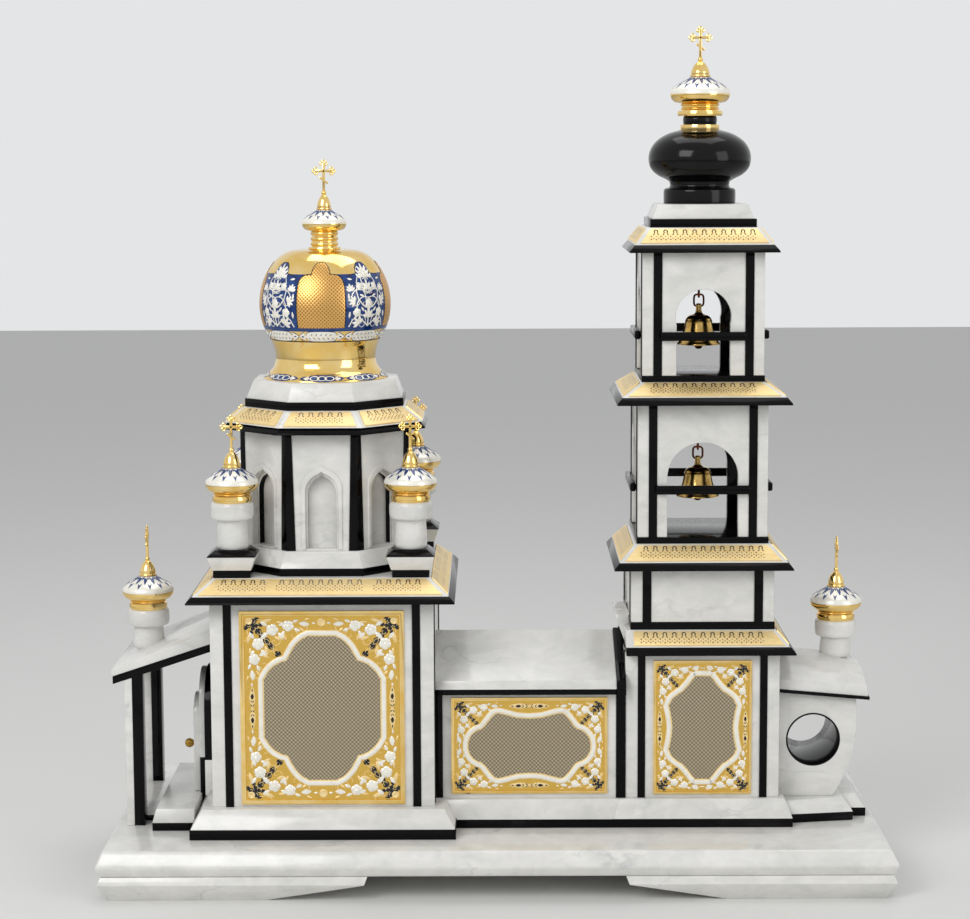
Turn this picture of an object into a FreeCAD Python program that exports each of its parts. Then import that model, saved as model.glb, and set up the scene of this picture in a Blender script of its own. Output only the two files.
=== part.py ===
import FreeCAD, Part
import math
import os

Vector = FreeCAD.Vector

# Driving dimensions in millimetres; a width is measured across flats, and X and Y start at the base's middle

# Base slab and its two feet
base_length = 624.0
base_depth = 283.0
foot_height = 20.0
slab_height = 20.0
slab_belly_height = 8.0
slab_underside_inset = 3.7
slab_top_inset = 6.5
slab_edge_round = 1.6
feet_gap = 200.6
foot_belly_height = 14.0
foot_belly_inset = 1.5
foot_top_inset = 4.0
foot_sole_inset = 9.5
foot_slope_length = 76.0
foot_toe_height = 13.5
foot_toe_lean = 2.7

# Nave: the square main block on the left
nave_x = -137.0
nave_foot_height = 8.0
nave_foot_width = 210.0
nave_plinth_height = 14.5
nave_plinth_lower_width = 209.0
nave_plinth_upper_width = 192.0
nave_width = 176.0
nave_wall_height = 165.5
nave_wall_thickness = 12.0
nave_eave_width = 210.0
nave_eave_height = 5.5
eave_lip = 1.2
eave_splay = 4.0
nave_roof_height = 12.5
nave_roof_lower_width = 201.0
nave_roof_upper_width = 170.0
nave_panel_width = 129.5
nave_panel_height = 155.5
nave_strip_width = 6.4
nave_strip_offset = 10.5

# Inlay strips, gilt sheet and panels that lie on the marble
strip_thickness = 0.8
panel_thickness = 1.8
gilt_thickness = 1.0
gilt_side_border = 3.2
gilt_edge_border = 1.6

# Drum: the octagon that carries the dome
drum_sides = 8
drum_foot_height = 6.0
drum_foot_width = 157.0
drum_plinth_height = 12.5
drum_plinth_lower_width = 156.0
drum_plinth_upper_width = 139.0
drum_width = 133.6
drum_wall_height = 93.5
drum_wall_thickness = 15.0
drum_strip_width = 6.6
niche_width = 26.2
niche_height = 61.8
niche_sill = 1.5
niche_depth = 9.0
niche_lining_depth = 5.0
niche_lining_thickness = 2.0
moulding_width = 2.9
moulding_depth = 1.4
drum_eave_height = 5.5
drum_eave_width = 162.0
drum_roof_height = 12.0
drum_roof_lower_width = 159.0
drum_roof_upper_width = 128.0
seat_band_height = 6.5
seat_band_width = 127.0
seat_height = 14.5
seat_lower_width = 124.8
seat_upper_width = 113.2

# Dome: skirt, bulb and finial
skirt_radius = 50.3
skirt_height = 31.5
skirt_waist_radius = 40.3
skirt_waist_height = 16.0
skirt_top_radius = 44.3
bulb_radius = 52.7
bulb_shoulder_radius = 26.3
dome_wall = 1.6
rod_radius = 3.0
nut_radius = 5.5
nut_height = 5.0

# Gilt finials: grooves between the bands of a neck
groove_height = 0.8
groove_depth = 0.8

# Finial of the dome
dome_flange_radius = 13.1
dome_flange_height = 2.0
dome_neck_radius = 11.3
dome_neck_height = 13.0
dome_neck_bands = 2
dome_onion_radius = 17.8
dome_onion_height = 16.8
dome_cone_height = 12.8
dome_cross_height = 27.4
dome_cross_span = 19.5

# Six turrets: shaft, collar and onion alike, four of them on pedestals
turret_spread = 70.3
shaft_radius = 12.0
shaft_height = 23.0
collar_radius = 17.0
collar_height = 14.0
turret_ring_radius = 15.5
turret_ring_height = 4.5
turret_neck_radius = 14.9
turret_neck_height = 3.0
turret_neck_bands = 1
turret_onion_radius = 20.9
turret_onion_height = 19.5
turret_cone_height = 13.0
turret_cross_height = 28.5
turret_cross_span = 18.4
pedestal_foot_height = 6.0
pedestal_foot_width = 29.2
pedestal_height = 11.0
pedestal_lower_width = 30.6
pedestal_upper_width = 37.8
pedestal_cap_height = 5.0
pedestal_cap_lower_width = 38.6
pedestal_cap_upper_width = 26.0
porch_turret_reach = 60.3
porch_collar_level = 193.0
apse_turret_reach = 52.5
apse_collar_level = 182.0

# Crosses
cross_thickness = 2.2
cross_bar = 2.1
cross_lobe_radius = 1.75

# Refectory: the low wing between nave and tower; it shares its foot and plinth with the tower
wing_foot_height = 7.0
wing_plinth_height = 15.0
wing_foot_width = 144.0
wing_plinth_upper_width = 132.0
refectory_length = 145.0
refectory_width = 124.0
refectory_wall_height = 86.5
refectory_wall_thickness = 12.0
refectory_panel_width = 125.0
refectory_panel_height = 78.6
left_end_thickness = 6.0
right_end_thickness = 7.5
end_plate_overlap = 1.5
refectory_eave_width = 143.0
refectory_eave_height = 4.5
refectory_roof_width = 144.0
refectory_roof_edge_height = 7.0
refectory_roof_edge_inset = 2.0
refectory_roof_height = 34.5

# Tower, from the ground up
stage_1_width = 123.0
stage_1_height = 118.0
stage_1_strip_offset = 9.7
stage_1_strip_width = 6.0
stage_1_panel_width = 78.5
stage_1_panel_height = 109.0
tower_wall_thickness = 12.0
eave_height = 5.9
roof_1_lower_width = 138.0
roof_1_upper_width = 116.0
roof_1_height = 12.3
band_1_width = 115.0
band_1_height = 6.0
stage_2_width = 114.0
stage_2_height = 43.5
stage_2_strip_offset = 9.0
stage_2_strip_width = 7.0
eave_2_width = 142.0
roof_2_lower_width = 134.0
roof_2_upper_width = 108.0
roof_2_height = 13.3
band_2_width = 105.0
band_2_height = 5.0
belfry_1_width = 103.4
belfry_1_height = 107.0
belfry_1_strip_offset = 8.6
belfry_1_strip_width = 6.7
belfry_1_arch_width = 56.5
belfry_1_arch_height = 75.7
belfry_1_rail_level = 34.9
eave_3_width = 138.0
roof_3_lower_width = 130.0
roof_3_upper_width = 97.0
roof_3_height = 11.0
band_3_width = 97.6
band_3_height = 4.8
belfry_2_width = 96.4
belfry_2_height = 97.5
belfry_2_strip_offset = 8.5
belfry_2_strip_width = 6.9
belfry_2_arch_width = 44.2
belfry_2_arch_height = 68.3
belfry_2_leg_width = 42.6
belfry_2_rail_level = 28.0
eave_4_width = 118.0
roof_4_lower_width = 110.0
roof_4_upper_width = 89.0
roof_4_height = 13.5
band_4_width = 84.0
band_4_height = 6.5
cap_lower_width = 80.0
cap_upper_width = 71.2
cap_height = 11.5
belfry_wall_thickness = 7.0
belfry_lining_thickness = 2.0
rail_height = 7.0
rail_thickness = 4.6
rail_overlap = 1.2

# Tower dome: one turned black piece under a gilt finial
tower_base_radius = 28.8
tower_base_height = 12.5
tower_cavetto_radius = 24.1
tower_cavetto_height = 6.5
tower_bulb_radius = 41.1
tower_bulb_height = 39.5
tower_ring_radius = 15.7
tower_ring_height = 4.0
tower_neck_radius = 12.7
tower_neck_height = 7.0
tower_finial_ring_radius = 18.1
tower_finial_ring_height = 4.0
tower_finial_neck_radius = 15.6
tower_finial_neck_height = 6.0
tower_finial_neck_bands = 2
tower_onion_radius = 23.9
tower_onion_height = 21.0
tower_cone_height = 13.0
tower_cross_height = 27.3
tower_cross_span = 19.2

# Keel gable between the refectory roof and the tower
keel_half_width = 34.0
keel_height = 24.5
keel_foot_thickness = 3.0
keel_lean = 7.0
keel_thickness = 10.5

# Bells on their chains
bell_radius = 17.2
bell_height = 24.0
bell_wall = 1.6
bell_crown_height = 9.0
bell_crown_radius = 4.9
bell_eye_boss_radius = 2.2
bell_eye_radius = 1.2
clapper_drop = 4.0
clapper_ball_radius = 3.5
clapper_rod_radius = 0.9
clapper_pin_radius = 0.8
clapper_eye_radius = 1.0
clapper_head_radius = 2.1
link_wire_radius = 0.8
link_width = 9.4
link_length = 11.0
chain_slack = 0.3
hook_wire_radius = 0.8
hook_eye_width = 6.4
hook_shank_radius = 0.75
lower_bell_rim_level = 26.2
upper_bell_rim_level = 21.4

# Apse at the right end
apse_reach = 65.3
apse_width = 80.0
apse_wall_height = 90.0
apse_plinth_height = 10.0
apse_back_lower_reach = 46.0
apse_back_upper_reach = 61.5
apse_bore_radius = 20.6
apse_bore_reach = 30.0
apse_bore_height = 47.0
apse_lining_thickness = 1.2
apse_roof_tilt_degrees = 5.0
apse_roof_length = 73.5
apse_roof_width = 92.0
apse_roof_height = 25.0
apse_roof_edge_height = 8.0
apse_eave_height = 2.5
apse_plinth_reach = 61.5
apse_plinth_lower_width = 120.0
apse_plinth_upper_width = 110.0
apse_plinth_end_width = 102.0
apse_plinth_top_end_width = 82.0
apse_plinth_top_reach = 54.5
apse_step_length = 12.0
apse_step_width = 78.0
apse_step_inset = 8.0

# Porch at the left end, over the door
porch_reach = 82.6
porch_width = 124.0
porch_roof_outer_level = 168.0
porch_roof_inner_level = 200.0
porch_roof_outer_thickness = 5.7
porch_roof_inner_thickness = 10.4
porch_strip_thickness = 6.5
porch_strip_inset = 1.0
post_outer_reach = 72.5
post_depth = 14.5
post_marble_depth = 6.2
post_width = 14.0
post_spacing = 108.0
platform_black_height = 4.5
platform_height = 5.5
platform_width = 92.0
platform_upper_width = 84.0
step_outer_reach = 50.0
step_inner_reach = 16.5
step_black_height = 6.5
step_height = 10.8
step_width = 154.0
step_upper_width = 150.0
step_nosing = 3.0

# Portal, door and its hinge
outer_frame_width = 68.0
outer_frame_height = 102.7
outer_frame_depth = 12.2
outer_block_height = 29.7
inner_frame_width = 50.0
inner_frame_height = 100.7
inner_frame_depth = 5.1
doorway_width = 30.0
doorway_height = 72.0
door_width = 38.0
door_height = 79.0
door_thickness = 5.2
door_floor_gap = 0.4
door_face_gap = 0.3
knob_radius = 4.0
knob_stem_radius = 1.6
knob_height = 38.0
knob_edge_distance = 9.0
hinge_edge_distance = 2.3
hinge_pin_radius = 1.0
hinge_barrel_radius = 2.2
hinge_barrel_height = 6.0
hinge_fit = 0.06
hinge_lower_height = 12.0
hinge_spacing = 46.0
strap_thickness = 1.0
bracket_height = 2.0
bracket_gap = 0.2

# One overrun for every cut, and the chords that stand for an arc on turned pieces
overrun = 4.0
arc_chords = 4
lobe_sides = 8
wire_sides = 8
ring_bends = 8

# Shares of an arch's height at which its straight legs end
arch_spring_share = 0.74
moulding_spring_share = 0.745
keel_spring_share = 0.3

# Radius of a wire's bends as a multiple of its own radius
wire_bend_share = 2.0

# Levels and places that follow from the sizes
base_top = foot_height + slab_height
nave_foot_top = base_top + nave_foot_height
nave_floor = nave_foot_top + nave_plinth_height
nave_top = nave_floor + nave_wall_height
nave_eave_top = nave_top + nave_eave_height
nave_roof_top = nave_eave_top + nave_roof_height
nave_left = nave_x - nave_width / 2
nave_right = nave_x + nave_width / 2
drum_foot_top = nave_roof_top + drum_foot_height
drum_floor = drum_foot_top + drum_plinth_height
drum_top = drum_floor + drum_wall_height
drum_eave_top = drum_top + drum_eave_height
drum_roof_top = drum_eave_top + drum_roof_height
seat_bottom = drum_roof_top + seat_band_height
seat_top = seat_bottom + seat_height
skirt_top = seat_top + skirt_height
pedestal_bottom = nave_roof_top + pedestal_foot_height
pedestal_top = pedestal_bottom + pedestal_height
pedestal_cap_top = pedestal_top + pedestal_cap_height
corner_collar_level = pedestal_cap_top + shaft_height

wing_foot_top = base_top + wing_foot_height
wing_floor = wing_foot_top + wing_plinth_height
refectory_left = nave_right
refectory_right = refectory_left + refectory_length
refectory_top = wing_floor + refectory_wall_height
refectory_eave_top = refectory_top + refectory_eave_height
tower_left = refectory_right + right_end_thickness
eave_1_width = refectory_roof_width + 2 * end_plate_overlap
tower_x = tower_left + stage_1_width / 2
tower_right = tower_x + stage_1_width / 2

stage_1_top = wing_floor + stage_1_height
eave_1_top = stage_1_top + eave_height
roof_1_top = eave_1_top + roof_1_height
stage_2_bottom = roof_1_top + band_1_height
stage_2_top = stage_2_bottom + stage_2_height
eave_2_top = stage_2_top + eave_height
roof_2_top = eave_2_top + roof_2_height
belfry_1_floor = roof_2_top + band_2_height
belfry_1_top = belfry_1_floor + belfry_1_height
eave_3_top = belfry_1_top + eave_height
roof_3_top = eave_3_top + roof_3_height
belfry_2_floor = roof_3_top + band_3_height
belfry_2_top = belfry_2_floor + belfry_2_height
eave_4_top = belfry_2_top + eave_height
roof_4_top = eave_4_top + roof_4_height
cap_bottom = roof_4_top + band_4_height
cap_top = cap_bottom + cap_height

tower_cavetto_bottom = cap_top + tower_base_height
tower_bulb_bottom = tower_cavetto_bottom + tower_cavetto_height
tower_ring_bottom = tower_bulb_bottom + tower_bulb_height
tower_neck_bottom = tower_ring_bottom + tower_ring_height
tower_finial_bottom = tower_neck_bottom + tower_neck_height

porch_turret_x = nave_left - porch_turret_reach
apse_turret_x = tower_right + apse_turret_reach
step_top = base_top + step_black_height + step_height
apse_foot_top = base_top + wing_foot_height
apse_floor = apse_foot_top + apse_plinth_height
corner_signs = [(-1, -1), (1, -1), (1, 1), (-1, 1)]


# Outlines and basic solids

def ring(sides, width_x, width_y, z, x=0.0, y=0.0):
    """Level outline with flat sides that face the axes, at height z."""
    reach_share = 0.5 / math.cos(math.pi / sides)
    points = []
    for k in range(sides):
        turn = 2 * math.pi * (k + 0.5) / sides
        points.append(Vector(x + width_x * reach_share * math.cos(turn),
                             y + width_y * reach_share * math.sin(turn), z))
    return Part.makePolygon(points + points[:1])


def tiers(sides, levels, x=0.0, y=0.0):
    """Flat-sided solid through levels of (height, width)."""
    return Part.makeLoft([ring(sides, width, width, z, x, y) for z, width in levels], True, True)


def block(x0, x1, y0, y1, z0, z1):
    """Box between two values of each coordinate."""
    return Part.makeBox(x1 - x0, y1 - y0, z1 - z0, Vector(x0, y0, z0))


def bar(width, depth, z0, z1, x=0.0, y=0.0):
    """Box centred on x and y."""
    return block(x - width / 2, x + width / 2, y - depth / 2, y + depth / 2, z0, z1)


def outline(start, *steps, chords=0):
    """Closed face in the XZ plane; a step is a point, or a pair of points for an arc through the first."""
    here = Vector(start[0], 0, start[1])
    first = here
    edges = []
    for step in steps:
        curved = isinstance(step[0], tuple)
        end_point = step[1] if curved else step
        end = Vector(end_point[0], 0, end_point[1])
        if curved:
            arc = Part.Arc(here, Vector(step[0][0], 0, step[0][1]), end).toShape()
            stops = arc.discretize(Number=chords + 1) if chords else []
            edges += [Part.LineSegment(a, b).toShape() for a,
                      b in zip(stops, stops[1:])] if chords else [arc]
        else:
            edges.append(Part.LineSegment(here, end).toShape())
        here = end
    edges.append(Part.LineSegment(here, first).toShape())
    return Part.Face(Part.Wire(edges))


def lathe_outline(start, *steps):
    """Outline for turning, whose arcs become a few chords so that the turned surface stays light."""
    return outline(start, *steps, chords=arc_chords)


def slab(face, y0, y1):
    """Face in the XZ plane, extruded from y0 to y1."""
    placed = face.copy()
    placed.translate(Vector(0, y0, 0))
    return placed.extrude(Vector(0, y1 - y0, 0))


def turned(face, x=0.0, y=0.0, z=0.0):
    """Face in the XZ plane, turned round the Z axis and set at a place."""
    solid = face.revolve(Vector(0, 0, 0), Vector(0, 0, 1), 360)
    solid.translate(Vector(x, y, z))
    return solid


def spun(shape, degrees, x=0.0, y=0.0):
    """Copy of a shape, turned about an upright axis at x, y."""
    copy = shape.copy()
    copy.rotate(Vector(x, y, 0), Vector(0, 0, 1), degrees)
    return copy


def mirrored(shape, normal, x=0.0):
    """Copy of a shape on the other side of the plane through x."""
    return shape.mirror(Vector(x, 0, 0), normal)


def fused(shapes):
    """One solid out of several that touch or overlap."""
    joined = shapes[0].multiFuse(shapes[1:])
    return joined.removeSplitter()


def topmost(shape):
    """Highest solid of a shape that a cut has parted."""
    return max(shape.Solids, key=lambda solid: solid.BoundBox.ZMax)


def sheet(corners, thickness):
    """Flat plate that grows outwards from four corners, given anticlockwise as seen from outside."""
    across = corners[1] - corners[0]
    up = corners[2] - corners[1]
    normal = across.cross(up)
    normal.normalize()
    return Part.Face(Part.makePolygon(corners + corners[:1])).extrude(normal * thickness)


# Pieces that repeat: strips, eaves, roofs and their gilt sheets

def corner_strips(width, offset, strip_width, z0, z1, x, y=0.0):
    """Eight inlay strips, two on each wall of a square block."""
    strips = []
    inner = width / 2 - offset - strip_width
    for quarter in range(4):
        for side in (-1, 1):
            near = side * inner
            far = side * (inner + strip_width)
            strip = block(x + min(near, far), x + max(near, far), y - width / 2 - strip_thickness,
                          y - width / 2, z0, z1)
            strips.append(spun(strip, 90 * quarter, x, y))
    return strips


def eave(sides, width, z0, height, x):
    """Black slab with a short upright lip and a splayed top edge."""
    return tiers(sides, [(z0, width), (z0 + eave_lip, width), (z0 + height, width - 2 * eave_splay)], x)


def gilt_sheet(sides, turn, lower, upper, x):
    """Gilt plate on one slope of a roof, short of its hips and edges."""
    (z0, width_0), (z1, width_1) = lower, upper
    slope = math.hypot(z1 - z0, (width_0 - width_1) / 2)
    half_side_share = math.tan(math.pi / sides) / 2
    corners = []
    for share, side in ((gilt_edge_border / slope, -1), (gilt_edge_border / slope, 1),
                        (1 - gilt_edge_border / slope, 1), (1 - gilt_edge_border / slope, -1)):
        width = width_0 + (width_1 - width_0) * share
        half = width * half_side_share - gilt_side_border
        corners.append(Vector(x + side * half, -width / 2, z0 + (z1 - z0) * share))
    return spun(sheet(corners, gilt_thickness), turn, x)


def gilt_sheets(sides, lower, upper, x):
    """Gilt plates on every slope of a roof."""
    return [gilt_sheet(sides, 360.0 * k / sides, lower, upper, x) for k in range(sides)]


# Base

def base_slab():
    """Slab with a belly and a softened upper edge."""
    levels = [(foot_height, slab_underside_inset), (foot_height + slab_belly_height, 0),
              (base_top - slab_edge_round, slab_top_inset - slab_edge_round), (base_top, slab_top_inset)]
    wires = [ring(4, base_length - 2 * inset, base_depth - 2 * inset, z) for z, inset in levels]
    return Part.makeLoft(wires, True, True)


def base_feet():
    """Two wide feet whose undersides rise towards the middle of the base."""
    far = base_length / 2
    near = feet_gap / 2
    side = outline((near, foot_height), (near + foot_toe_lean, foot_toe_height),
                   (near + foot_toe_lean + foot_slope_length, 0), (far - foot_sole_inset, 0),
                   (far - foot_belly_inset, foot_belly_height), (far - foot_top_inset, foot_height))
    deep = base_depth / 2
    end = outline((deep - foot_top_inset, foot_height), (deep - foot_belly_inset, foot_belly_height),
                  (deep - foot_sole_inset, 0), (foot_sole_inset - deep, 0),
                  (foot_belly_inset - deep, foot_belly_height), (foot_top_inset - deep, foot_height))
    foot = slab(side, -deep, deep).common(spun(slab(end, -far, far), 90))
    return [foot, mirrored(foot, Vector(1, 0, 0))]


# Nave

def nave_plinth():
    """Sloping plinth with a level bed for the portal."""
    body = tiers(4, [(nave_foot_top, nave_plinth_lower_width), (nave_floor, nave_plinth_upper_width)],
                 nave_x)
    bed = block(nave_x - nave_plinth_lower_width / 2 - overrun, nave_left, -outer_frame_width / 2,
                outer_frame_width / 2,
                step_top, nave_floor + overrun)
    return body.cut(bed)


def doorway(depth_0, depth_1, width, height):
    """Round-headed opening in the XZ plane, from the step's top up."""
    half = width / 2
    spring = step_top + height - half
    face = outline((-half, step_top - overrun), (half, step_top - overrun), (half, spring),
                   ((0, step_top + height), (-half, spring)))
    return slab(face, depth_0, depth_1)


def on_left_wall(shape):
    """Shape made for the front of the nave, turned to its left wall."""
    placed = spun(shape, -90)
    placed.translate(Vector(nave_x, 0, 0))
    return placed


def nave_walls():
    """Four marble walls with the doorway in the left one."""
    outer = bar(nave_width, nave_width, nave_floor, nave_top, nave_x)
    inside = nave_width - 2 * nave_wall_thickness
    walls = outer.cut(bar(inside, inside, nave_floor - overrun, nave_top + overrun, nave_x))
    opening = doorway(-nave_width / 2 - overrun, nave_wall_thickness - nave_width / 2 + overrun,
                      doorway_width, doorway_height)
    return walls.cut(on_left_wall(opening))


# Drum

def keel_arch(half, height, top_share):
    """Keel-headed outline in the XZ plane, with its sill at zero."""
    spring = height * top_share
    rise = height - spring
    shoulder = (half * 0.86, spring + rise * 0.42)
    neck = (half * 0.42, spring + rise * 0.8)
    bend = (half * 0.16, spring + rise * 0.9)
    return outline((-half, 0), (half, 0), (half, spring), (shoulder, neck), (bend, (0, height)),
                   ((-bend[0], bend[1]), (-neck[0], neck[1])),
                   ((-shoulder[0], shoulder[1]), (-half, spring)))


def at_niche(face, y0, y1, turn):
    """Slab of an arch outline, lifted to the niche and turned to one side of the drum."""
    solid = slab(face, y0, y1)
    solid.translate(Vector(nave_x, 0, drum_floor + niche_sill))
    return spun(solid, turn, nave_x)


def drum_walls():
    """Hollow octagon with a keel-headed niche and a raised moulding on each side."""
    walls = tiers(drum_sides, [(drum_floor, drum_width), (drum_top, drum_width)], nave_x)
    inside = drum_width - 2 * drum_wall_thickness
    walls = walls.cut(tiers(drum_sides, [(drum_floor - overrun, inside), (drum_top + overrun, inside)],
                            nave_x))
    face_y = -drum_width / 2
    inner = keel_arch(niche_width / 2, niche_height, arch_spring_share)
    outer = keel_arch(niche_width / 2 + moulding_width, niche_height + moulding_width * 1.6,
                      moulding_spring_share)
    mouldings = [at_niche(outer, face_y - moulding_depth, face_y,
                          360.0 / drum_sides * k) for k in range(drum_sides)]
    niches = [at_niche(inner, face_y - moulding_depth - overrun, face_y + niche_depth,
                       360.0 / drum_sides * k) for k in range(drum_sides)]
    return fused([walls] + mouldings).cut(Part.makeCompound(niches))


def niche_linings():
    """Black bands on the reveal of each niche, set back from the wall face."""
    inner = keel_arch(niche_width / 2, niche_height, arch_spring_share)
    thin = niche_lining_thickness
    hollow = keel_arch(niche_width / 2 - thin, niche_height - 1.6 * thin, arch_spring_share)
    back = niche_depth - drum_width / 2
    front = back - niche_lining_depth
    linings = []
    for k in range(drum_sides):
        band = at_niche(inner, front, back, 360.0 / drum_sides * k).cut(at_niche(hollow, front - overrun,
                                                                                 back + overrun,
                                                                 360.0 / drum_sides * k))
        linings.append(band)
    return linings


def drum_strips():
    """Folded strips over the eight corners of the drum."""
    z0 = drum_floor
    z1 = drum_top
    outer = drum_width + 2 * strip_thickness
    shell = tiers(drum_sides, [(z0, outer), (z1, outer)],
                  nave_x).cut(tiers(drum_sides, [(z0 - overrun, drum_width), (z1 + overrun, drum_width)],
                                                                   nave_x))
    side = drum_width * math.tan(math.pi / drum_sides)
    panel = bar(side - 2 * drum_strip_width, overrun * 2, z0 - overrun, z1 + overrun, nave_x,
                -drum_width / 2)
    gaps = [spun(panel, 360.0 / drum_sides * k, nave_x) for k in range(drum_sides)]
    return shell.cut(Part.makeCompound(gaps)).Solids


# Dome

def dome_skirt():
    """Turned skirt with a waist, open inside."""
    waist = (skirt_waist_radius, skirt_waist_height)
    wall = dome_wall
    face = lathe_outline((skirt_radius, 0), (waist, (skirt_top_radius, skirt_height)),
                         (skirt_top_radius - wall, skirt_height),
                   ((waist[0] - wall, waist[1]), (skirt_radius - 2 * wall, wall)),
                         (skirt_radius - 2 * wall, 0))
    return turned(face, nave_x, 0, seat_top)


def bulb_outline(wall, foot, crown):
    """Outer or inner line of the bulb: a ball whose shoulder turns over to a flat crown."""
    radius = bulb_radius - wall
    centre = math.sqrt(bulb_radius ** 2 - skirt_top_radius ** 2)
    low = math.sqrt(radius ** 2 - (centre - foot) ** 2)
    join = math.radians(40)
    turn_radius = bulb_shoulder_radius - wall
    turn_x = (bulb_radius - bulb_shoulder_radius) * math.cos(join)
    turn_z = centre + (bulb_radius - bulb_shoulder_radius) * math.sin(join)
    top = turn_z + turn_radius
    middle = math.radians(65)
    return [(low, foot), ((radius, centre), (radius * math.cos(join), centre + radius * math.sin(join))),
            ((turn_x + turn_radius * math.cos(middle), turn_z + turn_radius * math.sin(middle)),
             (turn_x, top)),
            (crown, top)]


def dome_bulb():
    """Thin gilt shell with a hole in its crown for the rod."""
    hole = rod_radius + chain_slack
    outer = bulb_outline(0, 0, hole)
    inner = bulb_outline(dome_wall, 0, hole)
    inside = [inner[3], inner[2][1], (inner[2][0], inner[1][1]), (inner[1][0], inner[0])]
    return turned(lathe_outline(outer[0], *outer[1:], *inside), nave_x, 0, skirt_top)


def bulb_crown_level():
    """Height of the flat crown of the bulb."""
    return skirt_top + bulb_outline(0, 0, 0)[3][1]


def tie_rod(bottom, top, seat, x):
    """Threaded rod that clamps a dome, with a nut under its top."""
    rod = Part.makeCylinder(rod_radius, top - bottom, Vector(x, 0, bottom))
    nut_side = tiers(6, [(seat - nut_height, 2 * nut_radius), (seat, 2 * nut_radius)], x)
    return fused([rod, nut_side])


# Finials, onions and crosses

def onion_line(radius, z0, height, tip_radius):
    """Right-hand line of an onion: a low belly and a hollow slope up to the tip."""
    belly = z0 + height * 0.4
    return [((radius * 0.93, z0 + height * 0.12), (radius, belly)),
            ((radius * 0.9, belly + height * 0.2), (radius * 0.6, belly + height * 0.4)),
            ((tip_radius * 1.5, z0 + height * 0.9), (tip_radius, z0 + height))]


def finial(x, z, ring_radius, ring_height, neck_radius, neck_height, bands, radius, height, cone_height):
    """Gilt ring, banded neck, onion and cone, turned in one piece."""
    foot = ring_height + neck_height
    tip = radius * 0.33
    cone_top = foot + height + cone_height
    steps = [(ring_radius, 0), (ring_radius, ring_height)]
    for k in range(bands):
        band_foot = ring_height + neck_height * k / bands
        steps += [(neck_radius - groove_depth, band_foot),
                  (neck_radius - groove_depth, band_foot + groove_height),
                  (neck_radius, band_foot + groove_height),
                  (neck_radius, ring_height + neck_height * (k + 1) / bands)]
    steps.append((radius * 0.7, foot))
    steps += onion_line(radius, foot, height, tip)
    steps += [((tip * 0.72, foot + height + cone_height * 0.4), (cross_bar * 0.8, cone_top)), (0, cone_top)]
    return turned(lathe_outline((0, 0), *steps), x, 0, z)


def lobe_face(x, z):
    """Small many-sided disc in the XZ plane, as found at the ends of a cross."""
    points = []
    for k in range(lobe_sides + 1):
        turn = 2 * math.pi * (k + 0.5) / lobe_sides
        points.append(Vector(x + cross_lobe_radius * math.cos(turn), 0,
                             z + cross_lobe_radius * math.sin(turn)))
    return Part.Face(Part.makePolygon(points))


def cross(x, y, z, height, span, turn):
    """Three-armed cross with lobed ends and a slanted lower bar."""
    half_bar = cross_bar / 2
    arms = z + height * 0.66
    lobe = cross_lobe_radius
    depth = cross_thickness
    top = z + height - lobe * 2
    pieces = [bar(cross_bar, depth, z, top, x, y),
              bar(span - 4 * lobe, depth, arms - half_bar, arms + half_bar, x, y)]
    ends = [(0, top, 0, 1), (-span / 2 + 2 * lobe, arms, -1, 0), (span / 2 - 2 * lobe, arms, 1, 0)]
    for end_x, end_z, out_x, out_z in ends:
        places = [(end_x + out_x * lobe, end_z + out_z * lobe),
                  (end_x + out_z * lobe, end_z + out_x * lobe),
                  (end_x - out_z * lobe, end_z - out_x * lobe)]
        for place_x, place_z in places:
            pieces.append(slab(lobe_face(x + place_x, place_z), y - depth / 2, y + depth / 2))
    low = arms - height * 0.27
    tilt = span * 0.17
    slant = outline((x - tilt, low + tilt), (x + tilt, low - tilt), (x + tilt, low - tilt + cross_bar),
                    (x - tilt, low + tilt + cross_bar))
    pieces.append(slab(slant, y - depth / 2, y + depth / 2))
    return spun(fused(pieces), turn, x, y)


# Turrets

def turret_shaft(x, y, bottom, collar_level):
    """Marble shaft and rounded collar in one piece."""
    collar = collar_level - bottom
    edge = collar_radius * 0.16
    top = collar + collar_height
    face = lathe_outline((0, 0), (shaft_radius, 0), (shaft_radius, collar), (collar_radius - edge, collar),
                   ((collar_radius - edge * 0.29, collar + edge * 0.29), (collar_radius, collar + edge)),
                   (collar_radius, top - edge), ((collar_radius - edge * 0.29, top - edge * 0.29),
                                                 (collar_radius - edge, top)), (0, top))
    return turned(face, x, y, bottom)


def corner_places():
    """Centres of the four turrets on the nave roof."""
    return [(nave_x + turret_spread * sx, turret_spread * sy) for sx, sy in corner_signs]


def turret_places():
    """Centre, level of the collar's underside and turn of the cross for all six turrets."""
    places = [(x, y, corner_collar_level, 0) for x, y in corner_places()]
    return places + [(porch_turret_x, 0.0, porch_collar_level, 90),
                     (apse_turret_x, 0.0, apse_collar_level, 90)]


def turret_shafts():
    """Six shafts; the porch's and the apse's are cut to the roofs they stand on."""
    shafts = [turret_shaft(x, y, pedestal_cap_top, corner_collar_level) for x, y in corner_places()]
    porch_shaft = turret_shaft(porch_turret_x, 0, porch_roof_outer_level - porch_roof_inner_thickness,
                               porch_collar_level)
    apse_shaft = turret_shaft(apse_turret_x, 0, apse_floor + apse_wall_height, apse_collar_level)
    return shafts + [topmost(porch_shaft.cut(porch_solid())), topmost(apse_shaft.cut(apse_roof()))]


def turret_onion(x, y, collar_level):
    """Gilt and enamelled onion on a turret."""
    solid = finial(x, collar_level + collar_height, turret_ring_radius, turret_ring_height,
                   turret_neck_radius,
                   turret_neck_height, turret_neck_bands, turret_onion_radius, turret_onion_height,
                   turret_cone_height)
    solid.translate(Vector(0, y, 0))
    return solid


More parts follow.
